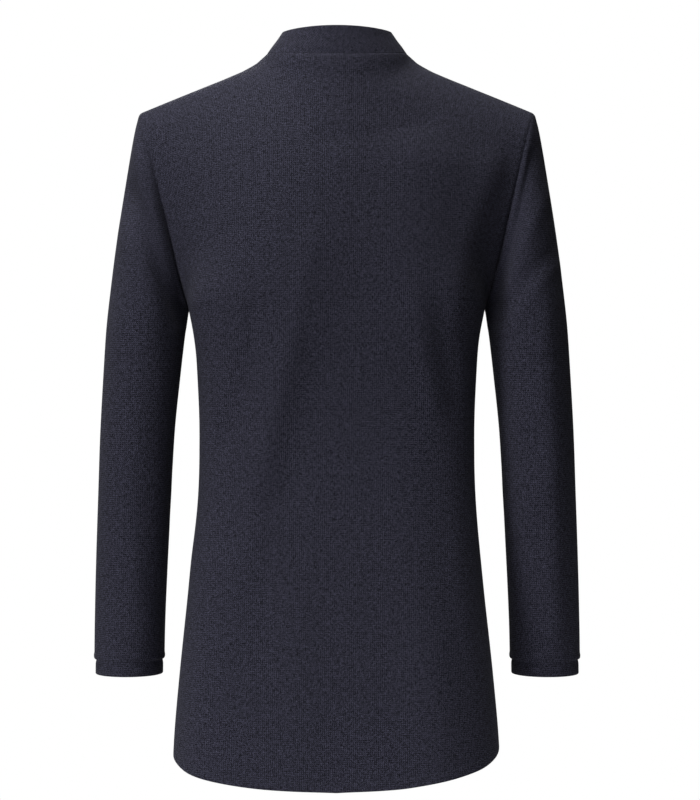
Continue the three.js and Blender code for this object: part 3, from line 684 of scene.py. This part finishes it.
def relax(panel):
    rise, place = shares_on_body(panel)
    weight = ease(rise / SMOOTHING["low"]) * ease((SMOOTHING["top"] - rise) / SMOOTHING["high"])
    weight = weight * ease((1 - place) / SMOOTHING["seam"])
    if panel["side"] < 0:
        weight = weight * ease(place / SMOOTHING["seam"])
    pace = SMOOTHING["pace"] * weight[1:-1, :, None]
    grid = panel["grid"]
    for _ in range(SMOOTHING["rounds"]):
        grid[1:-1] += pace * ((grid[:-2] + grid[2:]) / 2 - grid[1:-1])


def add_creases(panel):
    grid = panel["grid"]
    if panel["group"] == "sleeve":
        row = sleeve_row(SLEEVE_SHARES[None, :])
        facing = (grid[..., 1] - row["backset"]) / row["half_depth"]
        fade = ease(SLEEVE_SHARES / SLEEVE_FADE["top"])
        fade = (fade * ease((SLEEVE_SHARES[-1] - SLEEVE_SHARES) / SLEEVE_FADE["end"]))[None, :]
        folds = panel["folds"]
    else:
        row = read_table(BODY_SECTIONS, "z", grid[..., 2])
        facing = grid[..., 1] / (row["back"] if panel["side"] > 0 else row["front"])
        rise, place = shares_on_body(panel)
        fade = lerp(1, ease((1 - place) / BODY_FADE["armhole"]), ease(rise / BODY_FADE["underarm"]))
        fade = fade * ease((1 - rise) / BODY_FADE["top"])
        folds = BODY_FOLDS
    height = crease_height(folds, grid, panel["hand"], facing)
    panel["grid"] = grid + panel["normals"] * (fade * height)[..., None]


def add_lap(panel, hand):
    past = (panel["grid"][..., 0] * hand - LAP) / LAP_EASE
    panel["grid"] = panel["grid"] + panel["normals"] * (hand * LAP_STEP * (1 - ease(past)))[..., None]


for panel in PANELS.values():
    if panel["group"] == "body":
        relax(panel)
share_seam_normals()
for panel in PANELS.values():
    if panel["group"] in ("body", "sleeve"):
        add_creases(panel)
share_seam_normals()
add_lap(PANELS["front_left"], 1)
add_lap(PANELS["front_right"], -1)

# %% [markdown]
# ## Edges, seams and thickness
# Up close, a seam is a narrow groove, because both edges turn in, with a faint swell on each side where
# the turnings lie beneath, and a soft roll below the collar. A finished edge is folded in and rolls
# round, and the cloth there is double for the depth of the turning. A row of stitches sinks in a little.
# All of it follows from one number: how far a point is from the nearest seam or edge.

# %% Distances to the seams and free edges of a panel
BATCH = 2000


def distance_to(points, lines):
    flat = points.reshape(-1, 3)
    best = np.full(len(flat), np.inf)
    for line in lines:
        start, step = line[:-1], np.diff(line, axis=0)
        size = (step**2).sum(axis=1) + 1e-12
        for k in range(0, len(flat), BATCH):
            away = flat[k : k + BATCH, None] - start
            t = np.clip((away * step).sum(axis=2) / size, 0, 1)
            gap = np.linalg.norm(away - t[..., None] * step, axis=2).min(axis=1)
            best[k : k + BATCH] = np.minimum(best[k : k + BATCH], gap)
    return best.reshape(points.shape[:2])


def closed_line(line):
    return np.concatenate([line, line[:1]])


def seams_and_edges(name, grid):
    if name == "back":
        return [grid[0], grid[-1], grid[:, -1]], [grid[:, 0]]
    if name.startswith("front"):
        laps = len(LAP_STEPS)
        return [grid[-1], grid[laps:, -1]], [grid[0], grid[:, 0], grid[: laps + 1, -1]]
    if name.startswith("sleeve"):
        return [grid[0], closed_line(grid[:, 0])], [closed_line(grid[:, -1])]
    if name.startswith("cuff"):
        return [grid[0]], [closed_line(grid[:, -1])]
    return [grid[:, 0]], [grid[0], grid[-1], grid[:, -1]]


# %% Outer and inner skin of a panel
CLOTH, EDGE_CLOTH, TURNING, TURNING_RUN = 1.3, 2.4, 25, 0.8
SEAM_GROOVE = dict(height=-0.75, place=0, breadth=1.5)
SEAM_SWELL = dict(height=0.22, place=5, breadth=2.6)
COLLAR_SEAM = 1.8
STITCH_FROM_EDGE = 10
STITCH_GROOVE = dict(height=-0.22, place=STITCH_FROM_EDGE, breadth=1.2)
NECK_ROLL = dict(height=0.35, place=8, breadth=4.5)
SLEEVE_END_ROLL = dict(height=0.6, place=3.5, breadth=2.2)
CUFF_TUCK = dict(height=-0.9, place=17, breadth=3)


def swell(form, distance, scale=1.0):
    away = (distance - form["place"] * scale) / (form["breadth"] * scale)
    return form["height"] * np.exp(-(away**2))


def make_skins(name, panel):
    grid, normals = panel["grid"], panel["normals"]
    seams, edges = seams_and_edges(name, grid)
    to_seam, to_edge = distance_to(grid, seams), distance_to(grid, edges)
    radius = EDGE_CLOTH / 2
    roll = radius - np.sqrt(radius**2 - np.clip(radius - to_edge, 0, radius) ** 2)
    scale = COLLAR_SEAM if name == "collar" else 1.0
    outer = swell(SEAM_GROOVE, to_seam, scale) / scale + swell(SEAM_SWELL, to_seam, scale) - roll
    if panel["group"] == "body":
        outer = outer + swell(STITCH_GROOVE, to_edge)
    if name == "back":
        neck = grid[shares_on_body(panel)[1][:, 0] <= NECK_SHARE, -1]
        outer = outer + swell(NECK_ROLL, distance_to(grid, [neck]))
    if panel["group"] == "sleeve":
        outer = outer + swell(SLEEVE_END_ROLL, to_edge)
    if panel["group"] == "cuff":
        outer = outer + swell(CUFF_TUCK, to_edge)
    doubled = 1.0 if name == "collar" else ease((TURNING + TURNING_RUN / 2 - to_edge) / TURNING_RUN)
    inner = roll - lerp(CLOTH, EDGE_CLOTH, doubled)
    panel["to_edge"] = to_edge
    panel["outer"] = grid + normals * outer[..., None]
    panel["inner"] = grid + normals * inner[..., None]


for name, panel in PANELS.items():
    make_skins(name, panel)
print("points in each skin:", {name: panel["to_edge"].size for name, panel in PANELS.items()})


# %% [markdown]
# ## Making a shell
# Blender has a grid operator. Its flat squares are moved onto the panel's points, and the place in the
# cloth, measured along its threads, goes into a UV map in metres, so that the weave keeps its true
# scale. A Solidify modifier then gives the sheet a second skin, which is set to the worked-out inner
# points. The result is one closed, thin shell of cloth for each cut piece.

# %% Lengths along the threads
COLLAR_SLANT = dict(cosine=0.8, sine=0.6)


def arc_length(grid, axis):
    step = np.linalg.norm(np.diff(grid, axis=axis), axis=-1)
    pad = [(0, 0), (0, 0)]
    pad[axis] = (1, 0)
    return np.pad(np.cumsum(step, axis=axis), pad)


def thread_places(name, panel):
    grid = panel["grid"]
    if panel["closed"]:
        grid = np.concatenate([grid, grid[:1]])
    across, along = arc_length(grid, 0), arc_length(grid, 1)
    if panel["group"] == "body":
        centre = len(PLACES) - 1 if name == "back" else len(LAP_STEPS)
        across = across - across[centre][None]
        along = along - along[:, CHEST_ROW : CHEST_ROW + 1]
    elif panel["closed"]:
        across = across - across[len(RISES) - 1][None]
        along = along[:, -1:] - along
        across, along = along, across
    else:
        across = across - across[len(grid) // 2][None]
        cosine, sine = COLLAR_SLANT["cosine"], COLLAR_SLANT["sine"]
        across, along = across * cosine - along * sine, across * sine + along * cosine
    return across, along


# %% A closed shell of cloth from two skins
SAMPLED_FACES = 400
SAME_POINT = 1e-7
SHARP_EDGE = math.radians(55)


def numbered_sheet(piece_name, outer, threads):
    """The grid operator's flat squares, moved onto the panel's points and numbered as the panel is."""
    nu, nv = outer.shape[0] - 1, outer.shape[1] - 1
    bm = bmesh.new()
    bmesh.ops.create_grid(bm, x_segments=nu, y_segments=nv, size=1.0)
    sheet = bpy.data.meshes.new(piece_name)
    bm.to_mesh(sheet)
    bm.free()
    flat = np.empty(len(sheet.vertices) * 3)
    sheet.vertices.foreach_get("co", flat)
    flat = flat.reshape(-1, 3)
    i, j = (np.rint((flat[:, axis] + 1) / 2 * n).astype(int) for axis, n in ((0, nu), (1, nv)))
    sheet.vertices.foreach_set("co", (outer[i, j] * MM).ravel())
    number = sheet.attributes.new("number", "INT", "POINT")
    number.data.foreach_set("value", (i * (nv + 1) + j).astype(np.int32))
    corner = np.empty(len(sheet.loops), np.int32)
    sheet.loops.foreach_get("vertex_index", corner)
    places = np.stack([run[i, j][corner] for run in threads], axis=1) * MM
    sheet.uv_layers.new(name="Threads").uv.foreach_set("vector", places.ravel())
    return sheet


def face_outwards(sheet, closed, normals):
    bm = bmesh.new()
    bm.from_mesh(sheet)
    if closed:
        bmesh.ops.remove_doubles(bm, verts=bm.verts, dist=SAME_POINT)
    bm.faces.ensure_lookup_table()
    number = bm.verts.layers.int["number"]
    facing = 0.0
    for face in list(bm.faces)[:: max(1, len(bm.faces) // SAMPLED_FACES)]:
        face.normal_update()
        facing += face.normal.dot(Vector(normals[face.verts[0][number]]))
    if facing < 0:
        bmesh.ops.reverse_faces(bm, faces=bm.faces)
    bm.to_mesh(sheet)
    bm.free()


def give_thickness(piece, inner):
    wall = piece.modifiers.new("wall", "SOLIDIFY")
    wall.thickness, wall.offset = CLOTH * MM, -1
    solid = bpy.data.meshes.new_from_object(piece.evaluated_get(bpy.context.evaluated_depsgraph_get()))
    piece.modifiers.clear()
    piece.data = solid
    count = len(solid.vertices) // 2
    numbers, places = np.empty(2 * count, np.int32), np.empty(6 * count)
    solid.attributes["number"].data.foreach_get("value", numbers)
    solid.vertices.foreach_get("co", places)
    places.reshape(-1, 3)[count:] = inner[numbers[count:]] * MM
    solid.vertices.foreach_set("co", places)
    solid.attributes.remove(solid.attributes["number"])
    solid.update()


def cloth_shell(piece_name, name, material):
    panel = PANELS[name]
    outer, inner, normals = panel["outer"], panel["inner"], panel["normals"]
    if panel["closed"]:
        outer, inner, normals = (np.concatenate([skin, skin[:1]]) for skin in (outer, inner, normals))
    sheet = numbered_sheet(piece_name, outer, thread_places(name, panel))
    face_outwards(sheet, panel["closed"], normals.reshape(-1, 3))
    piece = bpy.data.objects.new(piece_name, sheet)
    bpy.context.collection.objects.link(piece)
    give_thickness(piece, inner.reshape(-1, 3))
    piece.data.shade_smooth()
    piece.data.set_sharp_from_angle(angle=SHARP_EDGE)
    piece.data.materials.clear()
    piece.data.materials.append(material)
    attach(piece, "root")
    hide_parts(name)
    print(piece_name, "faces", len(piece.data.polygons))
    return piece


# %% [markdown]
# ## Materials
# A material is a small calculation for each spot of the surface. Written as Python expressions it
# stays readable: a Wire stands for one output socket, adding two Wires adds a Math node, and the
# `node` method makes any other kind.

# %% Expressions that build nodes
class Wire:
    def __init__(self, finish, socket):
        self.finish, self.socket = finish, socket

    def math(self, operation, first, second):
        return self.finish.node("ShaderNodeMath", {"operation": operation}, {0: first, 1: second})

    def __add__(self, other):
        return self.math("ADD", self, other)

    def __sub__(self, other):
        return self.math("SUBTRACT", self, other)

    def __rsub__(self, other):
        return self.math("SUBTRACT", other, self)

    def __mul__(self, other):
        return self.math("MULTIPLY", self, other)

    __radd__, __rmul__ = __add__, __mul__


class Finish:
    def __init__(self, name):
        self.material = bpy.data.materials.new(name)
        self.material.use_nodes = True
        self.tree = self.material.node_tree
        self.tree.nodes.clear()

    def node(self, kind, settings=None, inputs=None, output=0):
        made = self.tree.nodes.new(kind)
        for setting, value in (settings or {}).items():
            setattr(made, setting, value)
        for key, value in (inputs or {}).items():
            if isinstance(value, Wire):
                self.tree.links.new(value.socket, made.inputs[key])
            else:
                made.inputs[key].default_value = value
        return None if output is None else Wire(self, made.outputs[output])

    def wave(self, value, length):
        turn = value * (2 * math.pi / length)
        return 0.5 + 0.5 * self.node("ShaderNodeMath", {"operation": "SINE"}, {0: turn})

    def noise(self, x, y, detail=2.0, z=0.0):
        place = self.node("ShaderNodeCombineXYZ", None, {0: x, 1: y, 2: z})
        return self.node("ShaderNodeTexNoise", None, {"Vector": place, "Scale": 1.0, "Detail": detail})

    def grain(self, **settings):
        spot = self.node("ShaderNodeTexCoord", output=3)
        return self.node("ShaderNodeTexNoise", None, {"Vector": spot, **settings})

    def between(self, value, low, high):
        inputs = {"Value": value, "From Min": low, "From Max": high}
        return self.node("ShaderNodeMapRange", {"interpolation_type": "SMOOTHSTEP"}, inputs)

    def blend(self, factor, first, second):
        colours = {6: first, 7: second, 0: factor}
        return self.node("ShaderNodeMix", {"data_type": "RGBA"}, colours, output=2)

    def bump(self, height, distance, strength, normal=None):
        inputs = {"Height": height, "Distance": distance, "Strength": strength}
        if normal is not None:
            inputs["Normal"] = normal
        return self.node("ShaderNodeBump", None, inputs)

    def surface(self, **sockets):
        inputs = {key.replace("_", " "): value for key, value in sockets.items()}
        shader = self.node("ShaderNodeBsdfPrincipled", None, inputs)
        self.node("ShaderNodeOutputMaterial", None, {"Surface": shader}, output=None)
        return self.material


# %% [markdown]
# ## The cloth
# The blazer is a heathered navy wool mix: dark yarn and lighter blue-grey yarn spun together, in a
# close weave of about two millimetres a repeat, with pale flecks where a light fibre comes up, and no
# shine. Warp, weft and their diagonal are waves in the cloth's own thread map, a little out of step, and
# the yarn is stretched noise. They tint the colour and lift the surface by a tenth of a millimetre or
# so, which is what breaks the light up.

# %% Navy heather cloth
REPEAT = dict(weft=2.13, warp=2.19, diagonal=2.2)
RELIEF = dict(weave=0.00022, waves=0.0010)


def make_cloth():
    cloth = Finish("Navy_heather_cloth")
    threads = cloth.node("ShaderNodeUVMap", {"uv_map": "Threads"})
    parts = cloth.node("ShaderNodeSeparateXYZ", None, {0: threads})
    across, along = (Wire(cloth, socket) * (1 / MM) for socket in parts.socket.node.outputs[:2])
    wobble = cloth.noise(across * 0.09, along * 0.09) - 0.5
    weft = cloth.wave(along + wobble * 1.6, REPEAT["weft"])
    warp = cloth.wave(across + wobble * 1.3, REPEAT["warp"])
    weave = cloth.wave(across + along * 0.98 + wobble * 1.5, REPEAT["diagonal"])
    slub = cloth.noise(across * 0.28, along * 1.2, 3.0)
    streak = cloth.noise(across * 1.2, along * 0.22, 2.0, 5.0)
    fibre = cloth.noise(across * 0.75, along * 0.75, 3.0, 3.0)
    cloud = cloth.noise(across * 0.16, along * 0.2, 2.0, 7.0)
    fleck = cloth.between(cloth.noise(across * 0.85, along * 1.0, 1.0, 11.0), 0.6, 0.76)
    tone = weft * 0.22 + warp * 0.28 + weave * 0.3 + slub * 1.2 + streak * 0.9 + fibre * 1.6 + cloud * 0.5
    light_yarn = cloth.between(tone - 2.08, 0.0, 1.0)
    ground = cloth.blend(light_yarn, (0.003, 0.0031, 0.0055, 1), (0.068, 0.0668, 0.105, 1))
    colour = cloth.blend(fleck * 0.5, ground, (0.2, 0.205, 0.3, 1))
    fine = cloth.bump(weft * 0.3 + warp * 0.3 + weave * 0.3 + fibre * 0.7 + slub * 0.4, RELIEF["weave"], 0.7)
    waves = cloth.noise(across * 0.035, along * 0.028, 2.0, 17.0)
    rough = cloth.bump(waves, RELIEF["waves"], 0.3, fine)
    return cloth.surface(
        Base_Color=colour, Roughness=0.93 - fleck * 0.08, Normal=rough,
        Sheen_Weight=0.03, Sheen_Roughness=0.6, Specular_IOR_Level=0.15,
    )


CLOTH_FINISH = make_cloth()
print("cloth nodes:", len(CLOTH_FINISH.node_tree.nodes))

# %% [markdown]
# ## Sewing thread and buttons
# Thread is smooth and a little lighter than the cloth. The buttons are dark moulded resin with a soft
# polish: faint swirls in the colour, fine scratches in the roughness.

# %% Thread and button finishes
def make_thread():
    thread = Finish("Navy_thread")
    tone = thread.grain(Scale=900.0, Detail=1.0)
    colour = thread.blend(tone, (0.018, 0.019, 0.034, 1), (0.05, 0.052, 0.085, 1))
    twist = thread.bump(tone, 0.0001, 0.5)
    return thread.surface(Base_Color=colour, Roughness=0.62, Normal=twist, Sheen_Weight=0.1)


def make_button_resin():
    resin = Finish("Dark_button_resin")
    swirl = resin.grain(Scale=130.0, Detail=4.0, Distortion=2.5)
    wear = resin.grain(Scale=1400.0, Detail=2.0)
    colour = resin.blend(resin.between(swirl, 0.38, 0.68), (0.008, 0.008, 0.012, 1), (0.028, 0.026, 0.032, 1))
    return resin.surface(
        Base_Color=colour, Roughness=0.3 + wear * 0.2, Normal=resin.bump(wear, 0.00004, 0.4),
        Specular_IOR_Level=0.5,
    )


THREAD_FINISH = make_thread()
BUTTON_FINISH = make_button_resin()

# %% [markdown]
# ## The cloth pieces
# Each cut piece becomes one shell, which rides on the one body of the part and takes the place of its
# solid. On the real blazer these are the eight pieces that a cutter lays out on the cloth.

# %% Shells of all panels
SHELLS = {
    name: cloth_shell(piece_name, name, CLOTH_FINISH)
    for name, piece_name in (
        ("back", "Back_panel"),
        ("front_left", "Left_front"),
        ("front_right", "Right_front"),
        ("sleeve_left", "Left_sleeve"),
        ("sleeve_right", "Right_sleeve"),
        ("cuff_left", "Left_cuff_band"),
        ("cuff_right", "Right_cuff_band"),
        ("collar", "Stand_collar"),
    )
}

# %% [markdown]
# ## Stitching
# A line of small stitches holds the turned-in hem and front edges, ten millimetres from the fold. Each
# stitch is a low-faced ball stretched along the line and half sunk in the cloth: hundreds of them stay
# cheap, and they catch the light as thread does.

# %% The line of stitches along an edge
STITCH = dict(pitch=4.4, length=3.1, breadth=0.62, rise=0.34)
CORNER_COLUMNS, ROWS_UNDER_COLLAR, STITCH_CLEARANCE = 40, 6, 2
LOOK_AHEAD = 1.2


def crossing(points, normals, gaps, at):
    """Where the distance to the edge passes a value along a line of points."""
    over = np.nonzero((gaps[:-1] < at) & (gaps[1:] >= at))[0]
    if not len(over):
        return None
    k = over[0]
    t = (at - gaps[k]) / (gaps[k + 1] - gaps[k])
    return lerp(points[k], points[k + 1], t), lerp(normals[k], normals[k + 1], t)


def stitch_path(name):
    panel = PANELS[name]
    outer, normals, gaps = panel["outer"], panel["normals"], panel["to_edge"]
    found = []
    for i in range(len(outer) - 1, -1, -1):
        hit = crossing(outer[i, :CHEST_ROW], normals[i], gaps[i, :CHEST_ROW], STITCH_FROM_EDGE)
        if hit and gaps[i].max() > STITCH_FROM_EDGE + STITCH_CLEARANCE:
            found.append(hit)
    if name != "back":
        highest = found[-1][0][2] + STITCH_CLEARANCE
        near = slice(CORNER_COLUMNS)
        for j in range(outer.shape[1] - ROWS_UNDER_COLLAR):
            hit = crossing(outer[near, j], normals[near, j], gaps[near, j], STITCH_FROM_EDGE)
            if hit and hit[0][2] > highest:
                found.append(hit)
    return np.array([p for p, _ in found]), np.array([n for _, n in found])


def along_path(points, normals, pitch):
    length = np.append(0, np.cumsum(np.linalg.norm(np.diff(points, axis=0), axis=1)))
    at = np.arange(pitch / 2, length[-1], pitch)

    def read(values, stops):
        return np.stack([np.interp(stops, length, values[:, axis]) for axis in range(3)], axis=1)

    place = read(points, at)
    return place, read(points, at + LOOK_AHEAD) - place, read(normals, at)


def frame_matrix(place, run, normal, scale):
    run = Vector(run).normalized()
    up = Vector(normal)
    up = (up - run * up.dot(run)).normalized()
    side = up.cross(run)
    turn = Matrix((run, side, up)).transposed().to_4x4()
    return Matrix.Translation(Vector(place) * MM) @ turn @ Matrix.Diagonal((*(Vector(scale) * MM), 1))


def stitch(bm, place, run, normal, half_sizes, fineness=1):
    matrix = frame_matrix(place, run, normal, half_sizes)
    bmesh.ops.create_icosphere(bm, subdivisions=fineness, radius=1.0, matrix=matrix)


def finished_piece(name, bm, material):
    mesh = bpy.data.meshes.new(name)
    bm.to_mesh(mesh)
    bm.free()
    mesh.materials.append(material)
    mesh.shade_smooth()
    piece = bpy.data.objects.new(name, mesh)
    bpy.context.collection.objects.link(piece)
    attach(piece, "root")
    print(name, "faces", len(mesh.polygons))
    return piece


# %% Stitches of the hem and front edges
EDGE_STITCHES = {}
for name, piece_name in (
    ("back", "Back_hem_stitches"),
    ("front_left", "Left_front_stitches"),
    ("front_right", "Right_front_stitches"),
):
    bm = bmesh.new()
    for place, run, normal in zip(*along_path(*stitch_path(name), STITCH["pitch"])):
        stitch(bm, place, run, normal, (STITCH["length"] / 2, STITCH["breadth"] / 2, STITCH["rise"]))
    EDGE_STITCHES[name] = finished_piece(piece_name, bm, THREAD_FINISH)

# %% [markdown]
# ## Buttons
# A four-hole button is turned on a lathe: a raised rim, a shallow dish, a rounded back. Spinning its
# half profile gives that shape, and four drills cut the holes. Two crossed bundles of thread and a short
# shank hold it to the front.

# %% One button: a spun profile with four drilled holes
BUTTON_PROFILE = [
    (0, 0.25), (6.5, 0.25), (8.9, 0.45), (10.0, 1.0), (10.45, 1.7), (10.3, 2.4), (9.7, 2.9), (9.0, 3.0),
    (8.3, 2.85), (7.6, 2.4), (6.4, 2.15), (3.0, 2.05), (0, 2.05),
]
BUTTON_STEPS = 56
BUTTON_SAME_POINT = 1e-6
HOLE = dict(offset=2.4, radius=1.05, middle=1.5, depth=6, sides=20)


def button_mesh():
    bm = bmesh.new()
    chain = [bm.verts.new((r * MM, 0, z * MM)) for r, z in BUTTON_PROFILE]
    edges = [bm.edges.new(pair) for pair in zip(chain[:-1], chain[1:])]
    bmesh.ops.spin(
        bm, geom=chain + edges, cent=(0, 0, 0), axis=(0, 0, 1), dvec=(0, 0, 0),
        angle=2 * math.pi, steps=BUTTON_STEPS, use_merge=True, use_duplicate=False,
    )
    bmesh.ops.remove_doubles(bm, verts=bm.verts, dist=BUTTON_SAME_POINT)
    bmesh.ops.recalc_face_normals(bm, faces=bm.faces)
    mesh = bpy.data.meshes.new("button_blank")
    bm.to_mesh(mesh)
    bm.free()
    blank = bpy.data.objects.new("button_blank", mesh)
    bm = bmesh.new()
    for sx, sy in ((1, 1), (1, -1), (-1, -1), (-1, 1)):
        spot = Matrix.Translation((sx * HOLE["offset"] * MM, sy * HOLE["offset"] * MM, HOLE["middle"] * MM))
        bmesh.ops.create_cone(
            bm, cap_ends=True, segments=HOLE["sides"], radius1=HOLE["radius"] * MM,
            radius2=HOLE["radius"] * MM, depth=HOLE["depth"] * MM, matrix=spot,
        )
    drills_mesh = bpy.data.meshes.new("drills")
    bm.to_mesh(drills_mesh)
    bm.free()
    drills = bpy.data.objects.new("drills", drills_mesh)
    for thing in (blank, drills):
        bpy.context.collection.objects.link(thing)
    cut = blank.modifiers.new("holes", "BOOLEAN")
    cut.operation, cut.object, cut.solver = "DIFFERENCE", drills, "EXACT"
    made = bpy.data.meshes.new_from_object(blank.evaluated_get(bpy.context.evaluated_depsgraph_get()))
    for thing in (blank, drills):
        bpy.data.objects.remove(thing)
    return made


BUTTON_MESH = button_mesh()
print("button faces", len(BUTTON_MESH.polygons))

# %% Where each button sits on the left front
front_tree = BVHTree.FromObject(SHELLS["front_left"], bpy.context.evaluated_depsgraph_get())
BEFORE_FRONT = -0.4


def front_spot(x, z):
    """The place and direction of the left front's outer face at a width and height in millimetres."""
    place, normal, _, _ = front_tree.ray_cast(Vector((x * MM, BEFORE_FRONT, z * MM)), Vector((0, 1, 0)))
    return place / MM, normal


def button_height(node):
    low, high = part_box(node)
    return (low[2] + high[2]) / 2 / MM


# %% Buttons, their thread and the worked buttonholes
SEAT = 0.45
BUTTON_SHARP_EDGE = math.radians(40)
BUNDLE = dict(level=2.28, step=0.1, spread=0.5, half_sizes=(3.7, 0.27, 0.27))
SHANK = dict(bottom=2.4, top=2.9, depth=1.1, sides=16)
BUTTONHOLE = dict(start=-3, end=20, pitch=0.95, reach=1.25, half_sizes=(1.25, 0.42, 0.42))
BAR = dict(past=0.9, spread=0.8, half_sizes=(1.0, 0.42, 0.45))
UNDER_BUTTON = 9


def sew_button(name, node, place):
    button = bpy.data.objects.new(name, BUTTON_MESH.copy())
    button.data.transform(place)
    button.data.materials.clear()
    button.data.materials.append(BUTTON_FINISH)
    button.data.shade_smooth()
    button.data.set_sharp_from_angle(angle=BUTTON_SHARP_EDGE)
    bpy.context.collection.objects.link(button)
    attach(button, "root")
    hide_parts(node)


def button_thread(place, seat, normal):
    bm = bmesh.new()
    for level, turn in ((0, 45), (1, 135)):
        run = Vector((math.cos(math.radians(turn)), math.sin(math.radians(turn)), 0))
        side = Vector((-run.y, run.x, 0))
        up = Vector((0, 0, BUNDLE["level"] + BUNDLE["step"] * level))
        for shift in (-BUNDLE["spread"], 0, BUNDLE["spread"]):
            middle = (place @ ((side * shift + up) * MM)) / MM
            stitch(bm, middle, seat.to_3x3() @ run, normal, BUNDLE["half_sizes"], fineness=2)
    bmesh.ops.create_cone(
        bm, cap_ends=True, segments=SHANK["sides"], radius1=SHANK["bottom"] * MM,
        radius2=SHANK["top"] * MM, depth=SHANK["depth"] * MM, matrix=place,
    )
    return bm


def buttonhole(height):
    bm = bmesh.new()
    for x in np.arange(BUTTONHOLE["start"], BUTTONHOLE["end"] + 0.01, BUTTONHOLE["pitch"]):
        if abs(x) >= UNDER_BUTTON:
            for up in (1, -1):
                spot, normal = front_spot(x, height + up * BUTTONHOLE["reach"])
                stitch(bm, spot, (0, 0, 1), normal, BUTTONHOLE["half_sizes"])
    for up in (-BAR["spread"], 0, BAR["spread"]):
        spot, normal = front_spot(BUTTONHOLE["end"] + BAR["past"], height + up)
        stitch(bm, spot, (1, 0, 0), normal, BAR["half_sizes"])
    return bm


for k in range(1, 5):
    node = f"button_{k}"
    height = button_height(node)
    spot, normal = front_spot(0, height)
    seat = Vector((0, 0, 1)).rotation_difference(normal).to_matrix().to_4x4()
    place = Matrix.Translation((spot + normal * SEAT) * MM) @ seat
    sew_button(f"Front_button_{k}", node, place)
    finished_piece(f"Button_thread_{k}", button_thread(place, seat, normal), THREAD_FINISH)
    finished_piece(f"Buttonhole_stitches_{k}", buttonhole(height), THREAD_FINISH)

# %% [markdown]
# ## What each sheet of cloth is
# The size of each sheet is worked out and printed: the widest and longest run of the cloth that shows,
# and its area. The body pieces are held up by whoever wears the blazer, the sleeves hang from the body,
# and the cuff bands from the sleeves.

SUPPORTS = {
    # node: how the cloth is held, and the pieces that it rests on
    "back": ("draped", []),
    "front_left": ("draped", ["back"]),
    "front_right": ("draped", ["back"]),
    "sleeve_left": ("hung", ["back", "front_left"]),
    "sleeve_right": ("hung", ["back", "front_right"]),
    "cuff_left": ("hung", ["sleeve_left"]),
    "cuff_right": ("hung", ["sleeve_right"]),
    "collar": ("draped", ["back", "front_left", "front_right"]),
}


def cloth_area(grid):
    diagonals = np.cross(grid[1:, 1:] - grid[:-1, :-1], grid[:-1, 1:] - grid[1:, :-1])
    return float(np.linalg.norm(diagonals, axis=-1).sum() / 2 * MM * MM)


for name, (held, rests_on) in SUPPORTS.items():
    grid = PANELS[name]["grid"]
    if PANELS[name]["closed"]:
        grid = np.concatenate([grid, grid[:1]])
    width = float(arc_length(grid, 0)[-1].max()) * MM
    length = float(arc_length(grid, 1)[:, -1].max()) * MM
    area = round(min(cloth_area(grid), width * length), 4)
    trims = [EDGE_STITCHES[name]] if name in EDGE_STITCHES else []
    print(name, "flat", round(width, 3), "by", round(length, 3), "m, area", area)

# %% [markdown]
# ## The floor
# A pale disc below the hem grounds the views from the side. It isn't attached to the blazer's body, so
# it isn't part of the blazer.

# %% Floor
FLOOR = dict(radius=0.9, level=-1.0, sides=96)
bm = bmesh.new()
bmesh.ops.create_circle(
    bm, cap_ends=True, segments=FLOOR["sides"], radius=FLOOR["radius"],
    matrix=Matrix.Translation((0, 0, FLOOR["level"])),
)
floor_mesh = bpy.data.meshes.new("studio_floor")
bm.to_mesh(floor_mesh)
bm.free()
floor = bpy.data.objects.new("studio_floor", floor_mesh)
bpy.context.collection.objects.link(floor)
paint = Finish("Pale_floor")
mottle = paint.blend(paint.grain(Scale=14.0, Detail=4.0), (0.72, 0.72, 0.73, 1), (0.8, 0.8, 0.81, 1))
floor_mesh.materials.append(paint.surface(Base_Color=mottle, Roughness=0.85))
